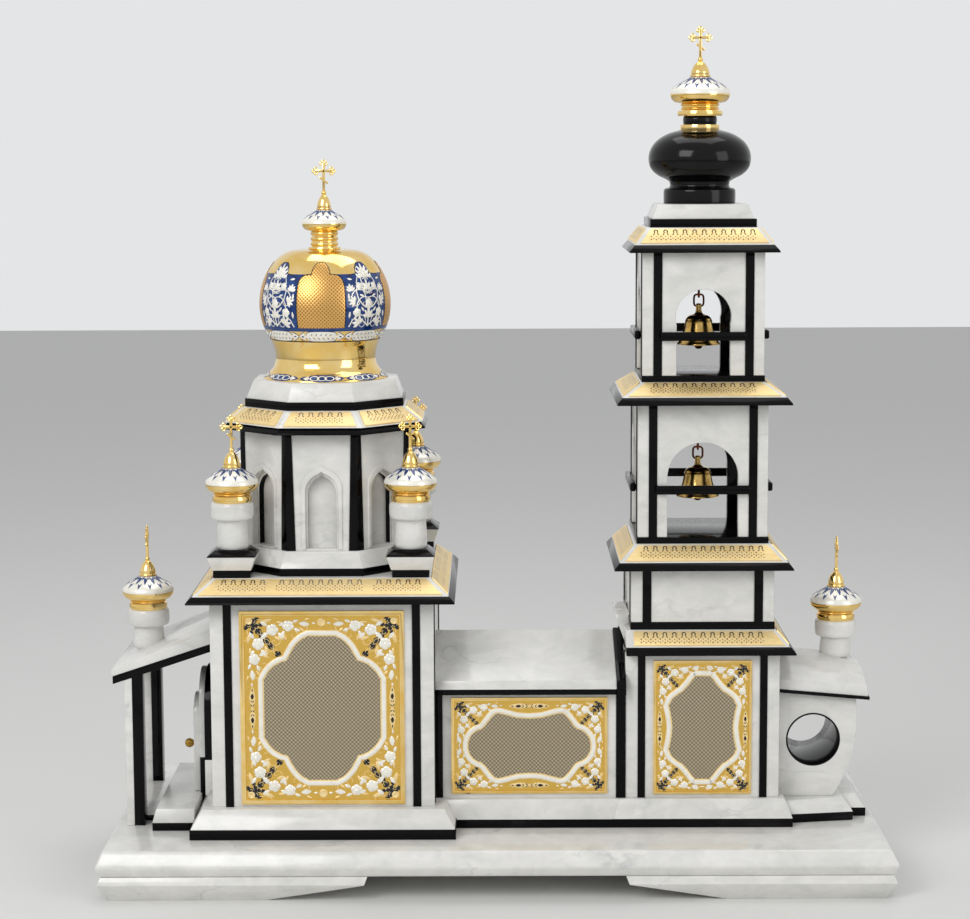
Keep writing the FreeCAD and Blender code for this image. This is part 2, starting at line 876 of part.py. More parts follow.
def crosses():
    """Crosses of the dome, the tower and the six turrets."""
    dome_neck_top = bulb_crown_level() + dome_flange_height + dome_neck_height
    dome_top = dome_neck_top + dome_onion_height + dome_cone_height
    tower_neck_top = tower_finial_bottom + tower_finial_ring_height + tower_finial_neck_height
    tower_top = tower_neck_top + tower_onion_height + tower_cone_height
    made = [cross(nave_x, 0, dome_top, dome_cross_height, dome_cross_span, 0),
            cross(tower_x, 0, tower_top, tower_cross_height, tower_cross_span, 0)]
    rise = collar_height + turret_ring_height + turret_neck_height + turret_onion_height + turret_cone_height
    for x, y, level, turn in turret_places():
        made.append(cross(x, y, level + rise, turret_cross_height, turret_cross_span, turn))
    return made


def pedestals(levels):
    """Square tiers under the four corner turrets."""
    return [tiers(4, levels, x, y) for x, y in corner_places()]


# Refectory

def between_plinths(z0, z1, width_0, width_1):
    """Plinth of the refectory, fitted between those of the nave and the tower."""
    left = nave_x + nave_plinth_upper_width / 2
    right = tower_x - wing_plinth_upper_width / 2
    wires = []
    for z, width in ((z0, width_0), (z1, width_1)):
        wires.append(ring(4, right - left, width, z, (left + right) / 2))
    body = Part.makeLoft(wires, True, True)
    return body.cut(nave_plinth()).cut(tower_plinth())


def refectory_walls():
    """Hollow walls, open at the end where they meet the tower's gable plate."""
    left = refectory_left + left_end_thickness
    thick = refectory_wall_thickness
    half = refectory_width / 2
    outer = block(left, refectory_right, -half, half, wing_floor, refectory_top)
    inside = block(left + thick, refectory_right - thick, thick - half, half - thick, wing_floor - overrun,
                   refectory_top + overrun)
    return outer.cut(inside).cut(nave_plinth())


def gable_outline(grow):
    """Section of the refectory roof, grown outwards by a margin."""
    half = refectory_roof_width / 2 + grow
    edge = refectory_eave_top + refectory_roof_edge_height
    inner = half - refectory_roof_edge_inset
    ridge = refectory_eave_top + refectory_roof_height + grow
    return half, inner, edge, ridge


def refectory_eave():
    """Black sheet under the refectory roof."""
    half = refectory_eave_width / 2
    return block(refectory_left, refectory_right, -half, half, refectory_top, refectory_eave_top)


def refectory_roof():
    """Pitched marble roof with a bevel along its eaves."""
    half, inner, edge, ridge = gable_outline(0)
    face = outline((-half, refectory_eave_top), (half, refectory_eave_top), (inner, edge), (0, ridge),
                   (-inner, edge))
    return spun(slab(face, -refectory_right, -refectory_left), 90)


def refectory_end_plates():
    """Upright black plates at the two ends of the wing; the right one follows the roof."""
    half, inner, edge, ridge = gable_outline(end_plate_overlap)
    wall = refectory_width / 2 + strip_thickness
    right = outline((-wall, wing_floor), (wall, wing_floor), (wall, refectory_top), (half, refectory_top),
                    (inner, edge),
                    (0, ridge), (-inner, edge), (-half, refectory_top), (-wall, refectory_top))
    left = outline((-wall, wing_floor), (wall, wing_floor), (wall, refectory_top), (-wall, refectory_top))
    left_plate = spun(slab(left, -refectory_left - left_end_thickness, -refectory_left), 90)
    right_plate = spun(slab(right, -refectory_right - right_end_thickness, -refectory_right), 90)
    return [left_plate.cut(nave_plinth()), right_plate.cut(tower_plinth())]


def nave_strips():
    """Strips of the nave, cut round the wing's roof and eave that stand against its right wall."""
    strips = corner_strips(nave_width, nave_strip_offset, nave_strip_width, nave_floor, nave_top, nave_x)
    against = Part.makeCompound([refectory_roof(), refectory_eave()])
    return [strip.cut(against) for strip in strips]


# Tower

def tower_plinth():
    """Sloping plinth of the tower."""
    return tiers(4, [(wing_foot_top, wing_foot_width), (wing_floor, wing_plinth_upper_width)], tower_x)


def hollow_stage(width, z0, z1):
    """Square stage of four marble walls."""
    inside = width - 2 * tower_wall_thickness
    return bar(width, width, z0, z1, tower_x).cut(bar(inside, inside, z0 - overrun, z1 + overrun, tower_x))


def stage_1_strips():
    """Strips of the first stage, cut round the gable plate and the apse that stand against its walls."""
    strips = corner_strips(stage_1_width, stage_1_strip_offset, stage_1_strip_width, wing_floor,
                           stage_1_top, tower_x)
    against = Part.makeCompound([refectory_end_plates()[1], apse_roof(), apse_eave()])
    return [strip.cut(against) for strip in strips]


def clear_of_refectory():
    """Space left of the tower's first stage, which its first eave and roof keep clear of."""
    reach = eave_1_width
    return block(tower_left - reach, tower_left, -reach, reach, stage_1_top - overrun, roof_1_top + overrun)


def keel_gable():
    """Keel-shaped gable that leans out over the refectory's ridge."""
    left = tower_left
    stage = tower_x - stage_2_width / 2
    foot = left + keel_foot_thickness
    tip = left - keel_lean
    z0 = eave_1_top
    z1 = z0 + keel_height
    shoulder = z0 + keel_height * 0.78
    side = outline((left, z0), (foot, z0), (foot, z0 + roof_1_height), (stage, z0 + roof_1_height),
                   (stage, shoulder),
                   ((stage - (stage - tip) * 0.3, z1 - keel_height * 0.03),
                    (tip + keel_thickness * 0.45, z1)),
                   ((tip + keel_thickness * 0.1, z1 - keel_height * 0.07), (tip, shoulder)))
    front = keel_arch(keel_half_width, keel_height, keel_spring_share)
    front.translate(Vector(0, 0, z0))
    deep = spun(slab(front, -stage, keel_lean * 2 - left), 90)
    return slab(side, -keel_half_width, keel_half_width).common(deep)


def roof_1():
    """First roof: hipped on three sides, square at the refectory, and slotted for the keel gable."""
    whole = tiers(4, [(eave_1_top, roof_1_lower_width), (roof_1_top, roof_1_upper_width)], tower_x)
    fill = block(tower_left, tower_x, -roof_1_upper_width / 2, roof_1_upper_width / 2, eave_1_top,
                 roof_1_top)
    run = outline((-roof_1_lower_width / 2, eave_1_top), (roof_1_lower_width / 2, eave_1_top),
                  (roof_1_upper_width / 2, roof_1_top), (-roof_1_upper_width / 2, roof_1_top))
    left_half = spun(slab(run, -tower_x, -tower_left), 90)
    return fused([whole.cut(clear_of_refectory()), fill, left_half]).cut(keel_gable())


def roof_1_gilt():
    """Gilt plates of the first roof: front and rear run square to the refectory, the right one is mitred."""
    lower = (eave_1_top, roof_1_lower_width)
    upper = (roof_1_top, roof_1_upper_width)
    sheets = [gilt_sheet(4, 90, lower, upper, tower_x)]
    limit = tower_left + 2 * gilt_side_border
    reach = eave_1_width
    right_side = block(tower_x, tower_x + reach, -reach, reach, eave_1_top - overrun, roof_1_top + overrun)
    for turn in (0, 180):
        whole = gilt_sheet(4, turn, lower, upper, tower_x)
        right = whole.common(right_side)
        run = (roof_1_lower_width - roof_1_upper_width) / 2
        slope = math.hypot(run, roof_1_height)
        corners = []
        for share, end in ((gilt_edge_border / slope, limit), (gilt_edge_border / slope, tower_x),
                           (1 - gilt_edge_border / slope, tower_x), (1 - gilt_edge_border / slope, limit)):
            corners.append(Vector(end, run * share - roof_1_lower_width / 2,
                                  eave_1_top + roof_1_height * share))
        left = sheet(corners, gilt_thickness)
        left = left if turn == 0 else mirrored(left, Vector(0, 1, 0))
        sheets.append(fused([left, right]))
    return sheets


# Belfries

def round_arch():
    """Opening of the lower belfry in the XZ plane: straight legs under a round head."""
    half = belfry_1_arch_width / 2
    spring = belfry_1_arch_height - half
    return outline((-half, -overrun), (half, -overrun), (half, spring),
                   ((0, belfry_1_arch_height), (-half, spring)))


def horseshoe_arch():
    """Opening of the upper belfry: the round head swells wider than the legs."""
    radius = belfry_2_arch_width / 2
    leg = belfry_2_leg_width / 2
    centre = belfry_2_arch_height - radius
    join = centre - math.sqrt(radius ** 2 - leg ** 2)
    return outline((-leg, -overrun), (leg, -overrun), (leg, join),
                   ((0, belfry_2_arch_height), (-leg, join)))


def belfry(width, z0, z1, arch):
    """Marble box, lined with black inside, with the same arch cut through all four sides."""
    inside = width - 2 * belfry_wall_thickness
    core = inside - 2 * belfry_lining_thickness
    walls = bar(width, width, z0, z1, tower_x).cut(bar(inside, inside, z0 - overrun, z1 + overrun, tower_x))
    lining = bar(inside, inside, z0, z1, tower_x).cut(bar(core, core, z0 - overrun, z1 + overrun, tower_x))
    along = slab(arch, -width / 2 - overrun, width / 2 + overrun)
    along.translate(Vector(tower_x, 0, z0))
    across = spun(along, 90, tower_x)
    openings = Part.makeCompound([along, across])
    return walls.cut(openings), lining.cut(openings)


def belfry_rails(width, strip_offset, strip_width, z0):
    """Four rails, one across each arch, seated on the corner strips."""
    face = width / 2 + strip_thickness
    reach = width / 2 - strip_offset - strip_width + rail_overlap
    rail = block(tower_x - reach, tower_x + reach, -face - rail_thickness, -face, z0, z0 + rail_height)
    rail = rail.makeChamfer(rail_thickness * 0.2, rail.Edges)
    return [spun(rail, 90 * k, tower_x) for k in range(4)]


# Tower dome

def tower_dome():
    """Turned black piece: rounded base, hollow neck, low bulb and a collar under the gilt ring."""
    z_cavetto = tower_base_height
    z_bulb = z_cavetto + tower_cavetto_height
    z_ring = z_bulb + tower_bulb_height
    edge = tower_base_height * 0.3
    base = tower_base_radius
    foot = tower_base_height * 0.1
    belly = tower_bulb_radius
    belly_z = z_bulb + tower_bulb_height * 0.44
    neck = tower_ring_radius
    top = z_ring + tower_ring_height + tower_neck_height
    face = lathe_outline((0, 0), (base, 0), (base, foot), (base - edge * 0.2, foot),
                   ((base, z_cavetto * 0.5), (base - edge * 0.4, z_cavetto)),
                         (tower_cavetto_radius, z_cavetto),
                   (tower_cavetto_radius, z_bulb - tower_cavetto_height * 0.2),
                         (belly * 0.64, z_bulb + edge),
                   ((belly * 0.93, belly_z - tower_bulb_height * 0.22), (belly, belly_z)),
                   ((belly * 0.86, belly_z + tower_bulb_height * 0.33), (neck, z_ring)),
                         (tower_neck_radius, z_ring),
                   (tower_neck_radius, top), (0, top))
    return turned(face, tower_x, 0, cap_top)


def tower_ring():
    """Gilt ring that sits on the bulb round its neck."""
    outer = tower_ring_radius
    face = outline((tower_neck_radius, 0), (outer, 0), (outer, tower_ring_height),
                   (tower_neck_radius, tower_ring_height))
    return turned(face, tower_x, 0, tower_ring_bottom)


# Bells

def bell(rim, x):
    """Bell with a flared lip, a crown with an eye, and a pin inside for the clapper."""
    height = bell_height
    lip = bell_radius
    wall = bell_wall
    shoulder = lip * 0.62
    inner_top = height - wall * 1.4
    boss = bell_eye_boss_radius
    face = lathe_outline((lip, 0), ((lip * 0.79, height * 0.3), (shoulder, height * 0.76)),
                         ((shoulder * 0.8, height * 0.95), (bell_crown_radius, height)),
                         (boss, height + bell_crown_height - 4 * bell_eye_radius),
                         (boss, height + bell_crown_height - boss / 2),
                         (boss * 0.6, height + bell_crown_height), (0, height + bell_crown_height),
                         (0, inner_top),
                         (bell_crown_radius * 0.7, inner_top), (shoulder - wall, height * 0.7),
                         ((lip * 0.79 - wall, height * 0.27), (lip - wall, 0)))
    solid = turned(face, x, 0, rim)
    eye = Part.makeCylinder(bell_eye_radius, 4 * boss, Vector(x - 2 * boss, 0, eye_level(rim)),
                            Vector(1, 0, 0))
    pin_z = rim + clapper_pin_level()
    half_pin = shoulder * 0.8
    pin = Part.makeCylinder(clapper_pin_radius, 2 * half_pin, Vector(x - half_pin, 0, pin_z),
                            Vector(1, 0, 0))
    return fused([solid.cut(eye), pin])


def eye_level(rim):
    """Height of the middle of the eye in the bell's crown."""
    return rim + bell_height + bell_crown_height - 2 * bell_eye_radius


def clapper_pin_level():
    """Height of the clapper's pin above the rim."""
    return bell_height * 0.78


def clapper(rim, x):
    """Rod with a ball below and an eyed head above."""
    pin_z = rim + clapper_pin_level()
    ball_z = rim - clapper_drop + clapper_ball_radius
    rod = Part.makeCylinder(clapper_rod_radius, pin_z - ball_z, Vector(x, 0, ball_z))
    radius = clapper_ball_radius
    ball = turned(lathe_outline((0, -radius), ((radius, 0), (0, radius))), x, 0, ball_z)
    thick = 2 * clapper_rod_radius
    head = Part.makeCylinder(clapper_head_radius, thick, Vector(x - thick / 2, 0, pin_z), Vector(1, 0, 0))
    hole = Part.makeCylinder(clapper_eye_radius, 3 * thick, Vector(x - 1.5 * thick, 0, pin_z),
                             Vector(1, 0, 0))
    return fused([rod, ball, head]).cut(hole)


def link_bottom_wire(rim):
    """Height of the middle of the link's lower bar, which carries the top of the bell's eye."""
    return eye_level(rim) + (bell_eye_radius - link_wire_radius) / 2


def wire_loop(width, length, wire_radius):
    """Closed loop of faceted wire in the XZ plane, with its lower bar centred at the origin."""
    half = width / 2 - wire_radius
    tall = length - 2 * wire_radius
    bend = wire_radius * wire_bend_share
    corner = bend * (1 - math.sqrt(0.5))
    points = [((bend - half, 0), (half - bend, 0), None),
              ((half - bend, 0), (half, bend), (half - corner, corner)),
              ((half, bend), (half, tall - bend), None),
              ((half, tall - bend), (half - bend, tall), (half - corner, tall - corner)),
              ((half - bend, tall), (bend - half, tall), None),
              ((bend - half, tall), (-half, tall - bend), (corner - half, tall - corner)),
              ((-half, tall - bend), (-half, bend), None),
              ((-half, bend), (bend - half, 0), (corner - half, corner))]
    edges = []
    for start, end, through in points:
        first = Vector(start[0], 0, start[1])
        last = Vector(end[0], 0, end[1])
        if through is None:
            edges.append(Part.LineSegment(first, last).toShape())
        else:
            edges.append(Part.Arc(first, Vector(through[0], 0, through[1]), last).toShape())
    corners = []
    for k in range(wire_sides + 1):
        turn = 2 * math.pi * k / wire_sides
        corners.append(Vector(bend - half, wire_radius * math.cos(turn), wire_radius * math.sin(turn)))
    return Part.Wire(edges).makePipeShell([Part.makePolygon(corners)], True, False)


def chain_link(rim, x):
    """Oval link between the hook and the bell's eye."""
    solid = wire_loop(link_width, link_length, link_wire_radius)
    solid.translate(Vector(x, 0, link_bottom_wire(rim)))
    return solid


def wire_ring(width, wire_radius):
    """Ring of round wire in the YZ plane, bent in short straight lengths, with a level one at the bottom."""
    far = width
    half = far * math.tan(math.pi / ring_bends)
    sector = Part.Face(Part.makePolygon([Vector(0, 0, 0), Vector(0, -half, -far), Vector(0, half, -far),
                                         Vector(0, 0, 0)]))
    sector.translate(Vector(-2 * wire_radius, 0, 0))
    rod = Part.makeCylinder(wire_radius, 2 * half, Vector(0, -half, wire_radius - width / 2),
                            Vector(0, 1, 0))
    length = rod.common(sector.extrude(Vector(4 * wire_radius, 0, 0)))
    lengths = []
    for k in range(ring_bends):
        copy = length.copy()
        copy.rotate(Vector(0, 0, 0), Vector(1, 0, 0), 360 * k / ring_bends)
        lengths.append(copy)
    return lengths


def hook(rim, ceiling, x):
    """Eye screwed into the ceiling, whose lowest length carries the link's upper bar."""
    upper_bar = link_bottom_wire(rim) + link_length - 2 * link_wire_radius
    lower_bar = upper_bar - hook_wire_radius - link_wire_radius - chain_slack
    reach = hook_eye_width / 2 - hook_wire_radius
    lengths = wire_ring(hook_eye_width, hook_wire_radius)
    for length in lengths:
        length.translate(Vector(x, 0, lower_bar + reach))
    eye_top = lower_bar + 2 * reach
    return fused(lengths + [Part.makeCylinder(hook_shank_radius, ceiling - eye_top, Vector(x, 0, eye_top))])


# Apse

def apse_back(x0, z0, height):
    """Side view of the apse wall: upright at the tower, bowed at the back."""
    foot = tower_right + apse_back_lower_reach
    top = tower_right + apse_back_upper_reach
    bulge = tower_right + apse_reach
    return outline((x0, z0), (foot, z0), ((bulge, z0 + height * 0.68), (top, z0 + height * 1.05)),
                   (x0, z0 + height * 1.05))


def apse_roof():
    """Apse roof in place: curved both ways and tilted down to the back."""
    length = apse_roof_length
    half = apse_roof_width / 2
    height = apse_roof_height
    side = outline((-overrun, 0), (length, 0), (length * 0.94, height * 0.8),
                   ((length * 0.48, height), (0, height * 0.94)),
                   (-overrun, height * 0.94))
    end = outline((-half, 0), (half, 0), (half * 0.98, apse_roof_edge_height),
                  ((0, height), (-half * 0.98, apse_roof_edge_height)))
    solid = slab(side, -half, half).common(spun(slab(end, -length, overrun), 90))
    solid.rotate(Vector(0, 0, 0), Vector(0, 1, 0), apse_roof_tilt_degrees)
    solid.translate(Vector(tower_right, 0, apse_floor + apse_wall_height))
    return solid.cut(block(tower_right - length, tower_right, -half, half, apse_floor,
                           apse_floor + 3 * apse_wall_height))


def apse_eave():
    """Thin black sheet under the apse roof, a little wider than it."""
    length = apse_roof_length + eave_lip
    half = apse_roof_width / 2 + eave_lip
    solid = block(-overrun, length, -half, half, -apse_eave_height, 0)
    solid.rotate(Vector(0, 0, 0), Vector(0, 1, 0), apse_roof_tilt_degrees)
    solid.translate(Vector(tower_right, 0, apse_floor + apse_wall_height))
    return solid.cut(block(tower_right - length, tower_right, -half, half, apse_floor,
                           apse_floor + 3 * apse_wall_height))


def apse_bore(radius):
    """Round hole through the apse from front to rear."""
    centre = Vector(tower_right + apse_bore_reach, -apse_width, apse_floor + apse_bore_height)
    return Part.makeCylinder(radius, 2 * apse_width, centre, Vector(0, 1, 0))


def apse_walls():
    """Solid apse wall with its bore, cut along the underside of the eave."""
    body = slab(apse_back(tower_right, apse_floor, apse_wall_height), -apse_width / 2, apse_width / 2)
    bore = apse_bore(apse_bore_radius + apse_lining_thickness)
    return body.cut(Part.makeCompound([apse_eave(), apse_roof(), bore])).cut(tower_plinth())


def apse_lining():
    """Black tube in the apse's bore."""
    outer = apse_bore(apse_bore_radius + apse_lining_thickness)
    body = slab(apse_back(tower_right, apse_floor, apse_wall_height), -apse_width / 2, apse_width / 2)
    return outer.cut(apse_bore(apse_bore_radius)).common(body)


def wedge(corners_0, corners_1, z0, z1):
    """Solid between two level four-sided outlines."""
    wires = []
    for corners, z in ((corners_0, z0), (corners_1, z1)):
        points = [Vector(x, y, z) for x, y in corners]
        wires.append(Part.makePolygon(points + points[:1]))
    return Part.makeLoft(wires, True, True)


def apse_plan(left, reach, near_width, far_width):
    """Plan of the apse plinth: wide at the tower, narrow at the back."""
    right = tower_right + reach
    return [(left, -near_width / 2), (right, -far_width / 2), (right, far_width / 2),
            (left, near_width / 2)]


def apse_plinth():
    """Plinth that narrows to the back, and the low step behind it."""
    left = tower_x + wing_plinth_upper_width / 2
    lower = apse_plan(left, apse_plinth_reach, apse_plinth_lower_width, apse_plinth_end_width)
    upper = apse_plan(left, apse_plinth_top_reach, apse_plinth_upper_width, apse_plinth_top_end_width)
    body = wedge(lower, upper, apse_foot_top, apse_floor).cut(tower_plinth())
    near = tower_right + apse_plinth_top_reach
    far = tower_right + apse_plinth_reach + apse_step_length
    half = apse_step_width / 2
    low = [(near, -half), (far, -half), (far, half), (near, half)]
    high = [(near, apse_step_inset - half), (far - apse_step_inset, apse_step_inset - half),
            (far - apse_step_inset, half - apse_step_inset), (near, half - apse_step_inset)]
    step = wedge(low, high, apse_foot_top, apse_floor).cut(body)
    bed = block(tower_right - wing_plinth_upper_width, tower_right, -wing_foot_width, wing_foot_width, 0,
                apse_floor)
    tongue = block(tower_right, left, -apse_width / 2, apse_width / 2, apse_foot_top,
                   apse_floor).cut(tower_plinth()).cut(bed)
    parts = [body, step]
    return parts + [piece for piece in tongue.Solids if piece.Volume > overrun ** 3]


def apse_foot():
    """Black strip under the apse plinth and its step."""
    left = tower_x + wing_foot_width / 2
    lower = apse_plan(left, apse_plinth_reach, apse_plinth_lower_width, apse_plinth_end_width)
    far = tower_right + apse_plinth_reach + apse_step_length
    half = apse_step_width / 2
    behind = block(tower_right + apse_plinth_reach, far, -half, half, base_top, apse_foot_top)
    return [wedge(lower, lower, base_top, apse_foot_top), behind]


# Porch

def porch_solid():
    """Lean-to marble roof of the porch."""
    outer = nave_left - porch_reach
    face = outline((outer, porch_roof_outer_level - porch_roof_outer_thickness),
                   (nave_left, porch_roof_inner_level
                   - porch_roof_inner_thickness), (nave_left, porch_roof_inner_level),
                   (outer, porch_roof_outer_level))
    return slab(face, -porch_width / 2, porch_width / 2)


def porch_strip():
    """Black strip along the underside of the porch roof."""
    outer = nave_left - porch_reach + porch_strip_inset
    z0 = porch_roof_outer_level - porch_roof_outer_thickness
    z1 = porch_roof_inner_level - porch_roof_inner_thickness
    lift = (z1 - z0) * porch_strip_inset / porch_reach
    half = porch_width / 2 - porch_strip_inset
    face = outline((outer, z0 + lift - porch_strip_thickness), (nave_left, z1 - porch_strip_thickness),
                   (nave_left, z1),
                   (outer, z0 + lift))
    return slab(face, -half, half)


def porch_posts():
    """Marble facings and black backs of the two posts, cut to the sloping strip."""
    outer = nave_left - post_outer_reach
    top = porch_roof_inner_level
    marble = []
    black = []
    for side in (-1, 1):
        y = side * post_spacing / 2
        facing = block(outer, outer + post_marble_depth, y - post_width / 2, y + post_width / 2, base_top,
                       top)
        back = block(outer + post_marble_depth, outer + post_depth, y - post_width / 2, y + post_width / 2,
                     base_top, top)
        cutter = porch_cutter()
        marble.append(facing.cut(cutter))
        black.append(back.cut(cutter))
    return marble, black


def porch_cutter():
    """Everything above the underside of the porch's black strip."""
    outer = nave_left - porch_reach + porch_strip_inset
    z0 = porch_roof_outer_level - porch_roof_outer_thickness
    z1 = porch_roof_inner_level - porch_roof_inner_thickness
    lift = (z1 - z0) * porch_strip_inset / porch_reach
    face = outline((outer, z0 + lift - porch_strip_thickness), (nave_left, z1 - porch_strip_thickness),
                   (nave_left, porch_roof_inner_level + overrun), (outer, porch_roof_inner_level + overrun))
    return slab(face, -porch_width, porch_width)


def platform(z0, z1, width_0, width_1):
    """Low platform between the posts."""
    outer = nave_left - post_outer_reach
    inner = nave_left - step_outer_reach
    low = [(outer, -width_0 / 2), (inner, -width_0 / 2), (inner, width_0 / 2), (outer, width_0 / 2)]
    high = [(outer, -width_1 / 2), (inner, -width_1 / 2), (inner, width_1 / 2), (outer, width_1 / 2)]
    return wedge(low, high, z0, z1)


def door_step(z0, z1, nosing, width_0, width_1):
    """Step in front of the door, sloped along its outer edge."""
    outer = nave_left - step_outer_reach
    inner = nave_left - step_inner_reach
    low = [(outer, -width_0 / 2), (inner, -width_0 / 2), (inner, width_0 / 2), (outer, width_0 / 2)]
    high = [(outer + nosing, -width_1 / 2), (inner, -width_1 / 2), (inner, width_1 / 2),
            (outer + nosing, width_1 / 2)]
    return wedge(low, high, z0, z1)


# Portal and door

def frame_outline(width, height, bottom):
    """Round-headed plate in the XZ plane, from a level up."""
    half = width / 2
    spring = step_top + height - half
    return outline((-half, bottom), (half, bottom), (half, spring),
                   ((0, step_top + height), (-half, spring)))


def portal_frame(width, height, near, far):
    """One layer of the portal: its two base blocks and the frame above them."""
    opening = doorway(-near - overrun, -far + overrun, doorway_width, doorway_height)
    split = step_top + outer_block_height
    upper = slab(frame_outline(width, height, split), -near, -far).cut(opening)
    side = (width - doorway_width) / 2
    blocks = []
    for sign in (-1, 1):
        centre = sign * (doorway_width + side) / 2
        blocks.append(on_left_wall(block(centre - side / 2, centre + side / 2, -near, -far, step_top,
                                         split)))
    return on_left_wall(upper), blocks


def portal():
    """Outer frame black over white blocks, inner frame white over black blocks."""
    wall = nave_width / 2
    middle = wall + outer_frame_depth
    outer_upper, outer_blocks = portal_frame(outer_frame_width, outer_frame_height, middle, wall)
    inner_upper, inner_blocks = portal_frame(inner_frame_width, inner_frame_height,
                                             middle + inner_frame_depth, middle)
    return [outer_upper] + inner_blocks, [inner_upper] + outer_blocks


def door_levels():
    """Bottom of the door, near face and hinge axis, in the plane of the nave's front."""
    near = nave_width / 2 + outer_frame_depth + inner_frame_depth + door_face_gap
    bottom = step_top + door_floor_gap
    hinge_x = -door_width / 2 - hinge_edge_distance
    hinge_y = -near - door_thickness / 2
    return near, bottom, hinge_x, hinge_y


def hinge_heights():
    """Undersides of the two hinge barrels."""
    near, bottom, hinge_x, hinge_y = door_levels()
    return [bottom + hinge_lower_height, bottom + hinge_lower_height + hinge_spacing]


def door_slab():
    """Arched leaf in the plane of the nave's front."""
    near, bottom, hinge_x, hinge_y = door_levels()
    half = door_width / 2
    spring = bottom + door_height - half
    face = outline((-half, bottom), (half, bottom), (half, spring),
                   ((0, bottom + door_height), (-half, spring)))
    return slab(face, -near - door_thickness, -near)


def door_straps():
    """Two straps on the leaf, each ending in a bored barrel at the hinge side."""
    near, bottom, hinge_x, hinge_y = door_levels()
    straps = []
    for z in hinge_heights():
        top = z + hinge_barrel_height
        barrel = Part.makeCylinder(hinge_barrel_radius, hinge_barrel_height, Vector(hinge_x, hinge_y, z))
        strap = block(hinge_x, hinge_x + door_width * 0.5, -near - door_thickness - strap_thickness,
                      hinge_y, z, top)
        bore = Part.makeCylinder(hinge_pin_radius + hinge_fit, hinge_barrel_height + 2 * overrun,
                                 Vector(hinge_x, hinge_y, z - overrun))
        straps.append(on_left_wall(fused([barrel, strap.cut(door_slab())]).cut(bore)))
    return straps


def door_pintles():
    """Pins that carry the barrels, on brackets from the portal."""
    near, bottom, hinge_x, hinge_y = door_levels()
    frame_face = -(near - door_face_gap)
    pintles = []
    for z in hinge_heights():
        foot = z - bracket_gap - bracket_height
        bracket = block(hinge_x - hinge_barrel_radius, hinge_x + hinge_barrel_radius * 0.6,
                        hinge_y - hinge_barrel_radius * 0.6,
                        frame_face, foot, foot + bracket_height)
        pin = Part.makeCylinder(hinge_pin_radius, bracket_height + bracket_gap + hinge_barrel_height * 0.9,
                                Vector(hinge_x, hinge_y, foot))
        pintles.append(on_left_wall(fused([bracket, pin])))
    return pintles


def door_knob():
    """Round brass knob on a short stem."""
    near, bottom, hinge_x, hinge_y = door_levels()
    face = -near - door_thickness
    x = door_width / 2 - knob_edge_distance
    z = bottom + knob_height
    stem = Part.makeCylinder(knob_stem_radius, knob_radius, Vector(x, face, z), Vector(0, -1, 0))
    ball = turned(lathe_outline((0, -knob_radius), ((knob_radius, 0), (0, knob_radius))))
    ball.rotate(Vector(0, 0, 0), Vector(1, 0, 0), 90)
    ball.translate(Vector(x, face - knob_radius * 1.15, z))
    return on_left_wall(fused([stem, ball]))


# Nodes, each a list of solids

def flat_panel(width, height, wall_width, z0, z1, x):
    """Ornament panels on the front and rear walls."""
    middle = (z0 + z1) / 2
    front = block(x - width / 2, x + width / 2, -wall_width / 2 - panel_thickness, -wall_width / 2,
                  middle - height / 2,
                  middle + height / 2)
    return [front, mirrored(front, Vector(0, 1, 0))]


belfry_1_walls, belfry_1_lining = belfry(belfry_1_width, belfry_1_floor, belfry_1_top, round_arch())
belfry_2_walls, belfry_2_lining = belfry(belfry_2_width, belfry_2_floor, belfry_2_top, horseshoe_arch())
marble_posts, black_posts = porch_posts()
portal_black, portal_marble = portal()
lower_rim = belfry_1_floor + lower_bell_rim_level
upper_rim = belfry_2_floor + upper_bell_rim_level
crown_level = bulb_crown_level()

nodes = {}
nodes["base_slab"] = [base_slab()]
nodes["base_feet"] = base_feet()
nodes["foot_strips"] = [
    bar(nave_foot_width, nave_foot_width, base_top, nave_foot_top, nave_x),
    block(nave_x + nave_foot_width / 2, tower_x - wing_foot_width / 2, -wing_foot_width / 2,
          wing_foot_width / 2, base_top, wing_foot_top),
    bar(wing_foot_width, wing_foot_width, base_top, wing_foot_top, tower_x),
    platform(base_top, base_top + platform_black_height, platform_width, platform_width),
    door_step(base_top, base_top + step_black_height, 0, step_width, step_width).cut(
        bar(nave_foot_width, nave_foot_width, base_top, nave_foot_top, nave_x)),
] + apse_foot()
nodes["nave_plinth"] = [nave_plinth()]
nodes["refectory_plinth"] = [between_plinths(wing_foot_top, wing_floor, wing_foot_width,
                                             wing_plinth_upper_width)
                             .cut(bar(nave_foot_width, nave_foot_width, base_top, nave_foot_top, nave_x))]
nodes["tower_plinth"] = [tower_plinth()]
nodes["apse_plinth"] = apse_plinth()
nodes["nave_walls"] = [nave_walls()]
nodes["nave_eave"] = [eave(4, nave_eave_width, nave_top, nave_eave_height, nave_x)]
nodes["nave_roof"] = [tiers(4, [(nave_eave_top, nave_roof_lower_width),
                                (nave_roof_top, nave_roof_upper_width)], nave_x)]
nodes["drum_plinth"] = [tiers(drum_sides, [(drum_foot_top, drum_plinth_lower_width),
                                  (drum_floor, drum_plinth_upper_width)], nave_x)]
nodes["drum_walls"] = [drum_walls()]
nodes["drum_eave"] = [eave(drum_sides, drum_eave_width, drum_top, drum_eave_height, nave_x)]
nodes["drum_roof"] = [tiers(drum_sides, [(drum_eave_top, drum_roof_lower_width),
                                (drum_roof_top, drum_roof_upper_width)], nave_x)]
nodes["dome_seat"] = [tiers(drum_sides, [(seat_bottom, seat_lower_width), (seat_top, seat_upper_width)],
                            nave_x)]
nodes["dome_skirt"] = [dome_skirt()]
nodes["dome_bulb"] = [dome_bulb()]
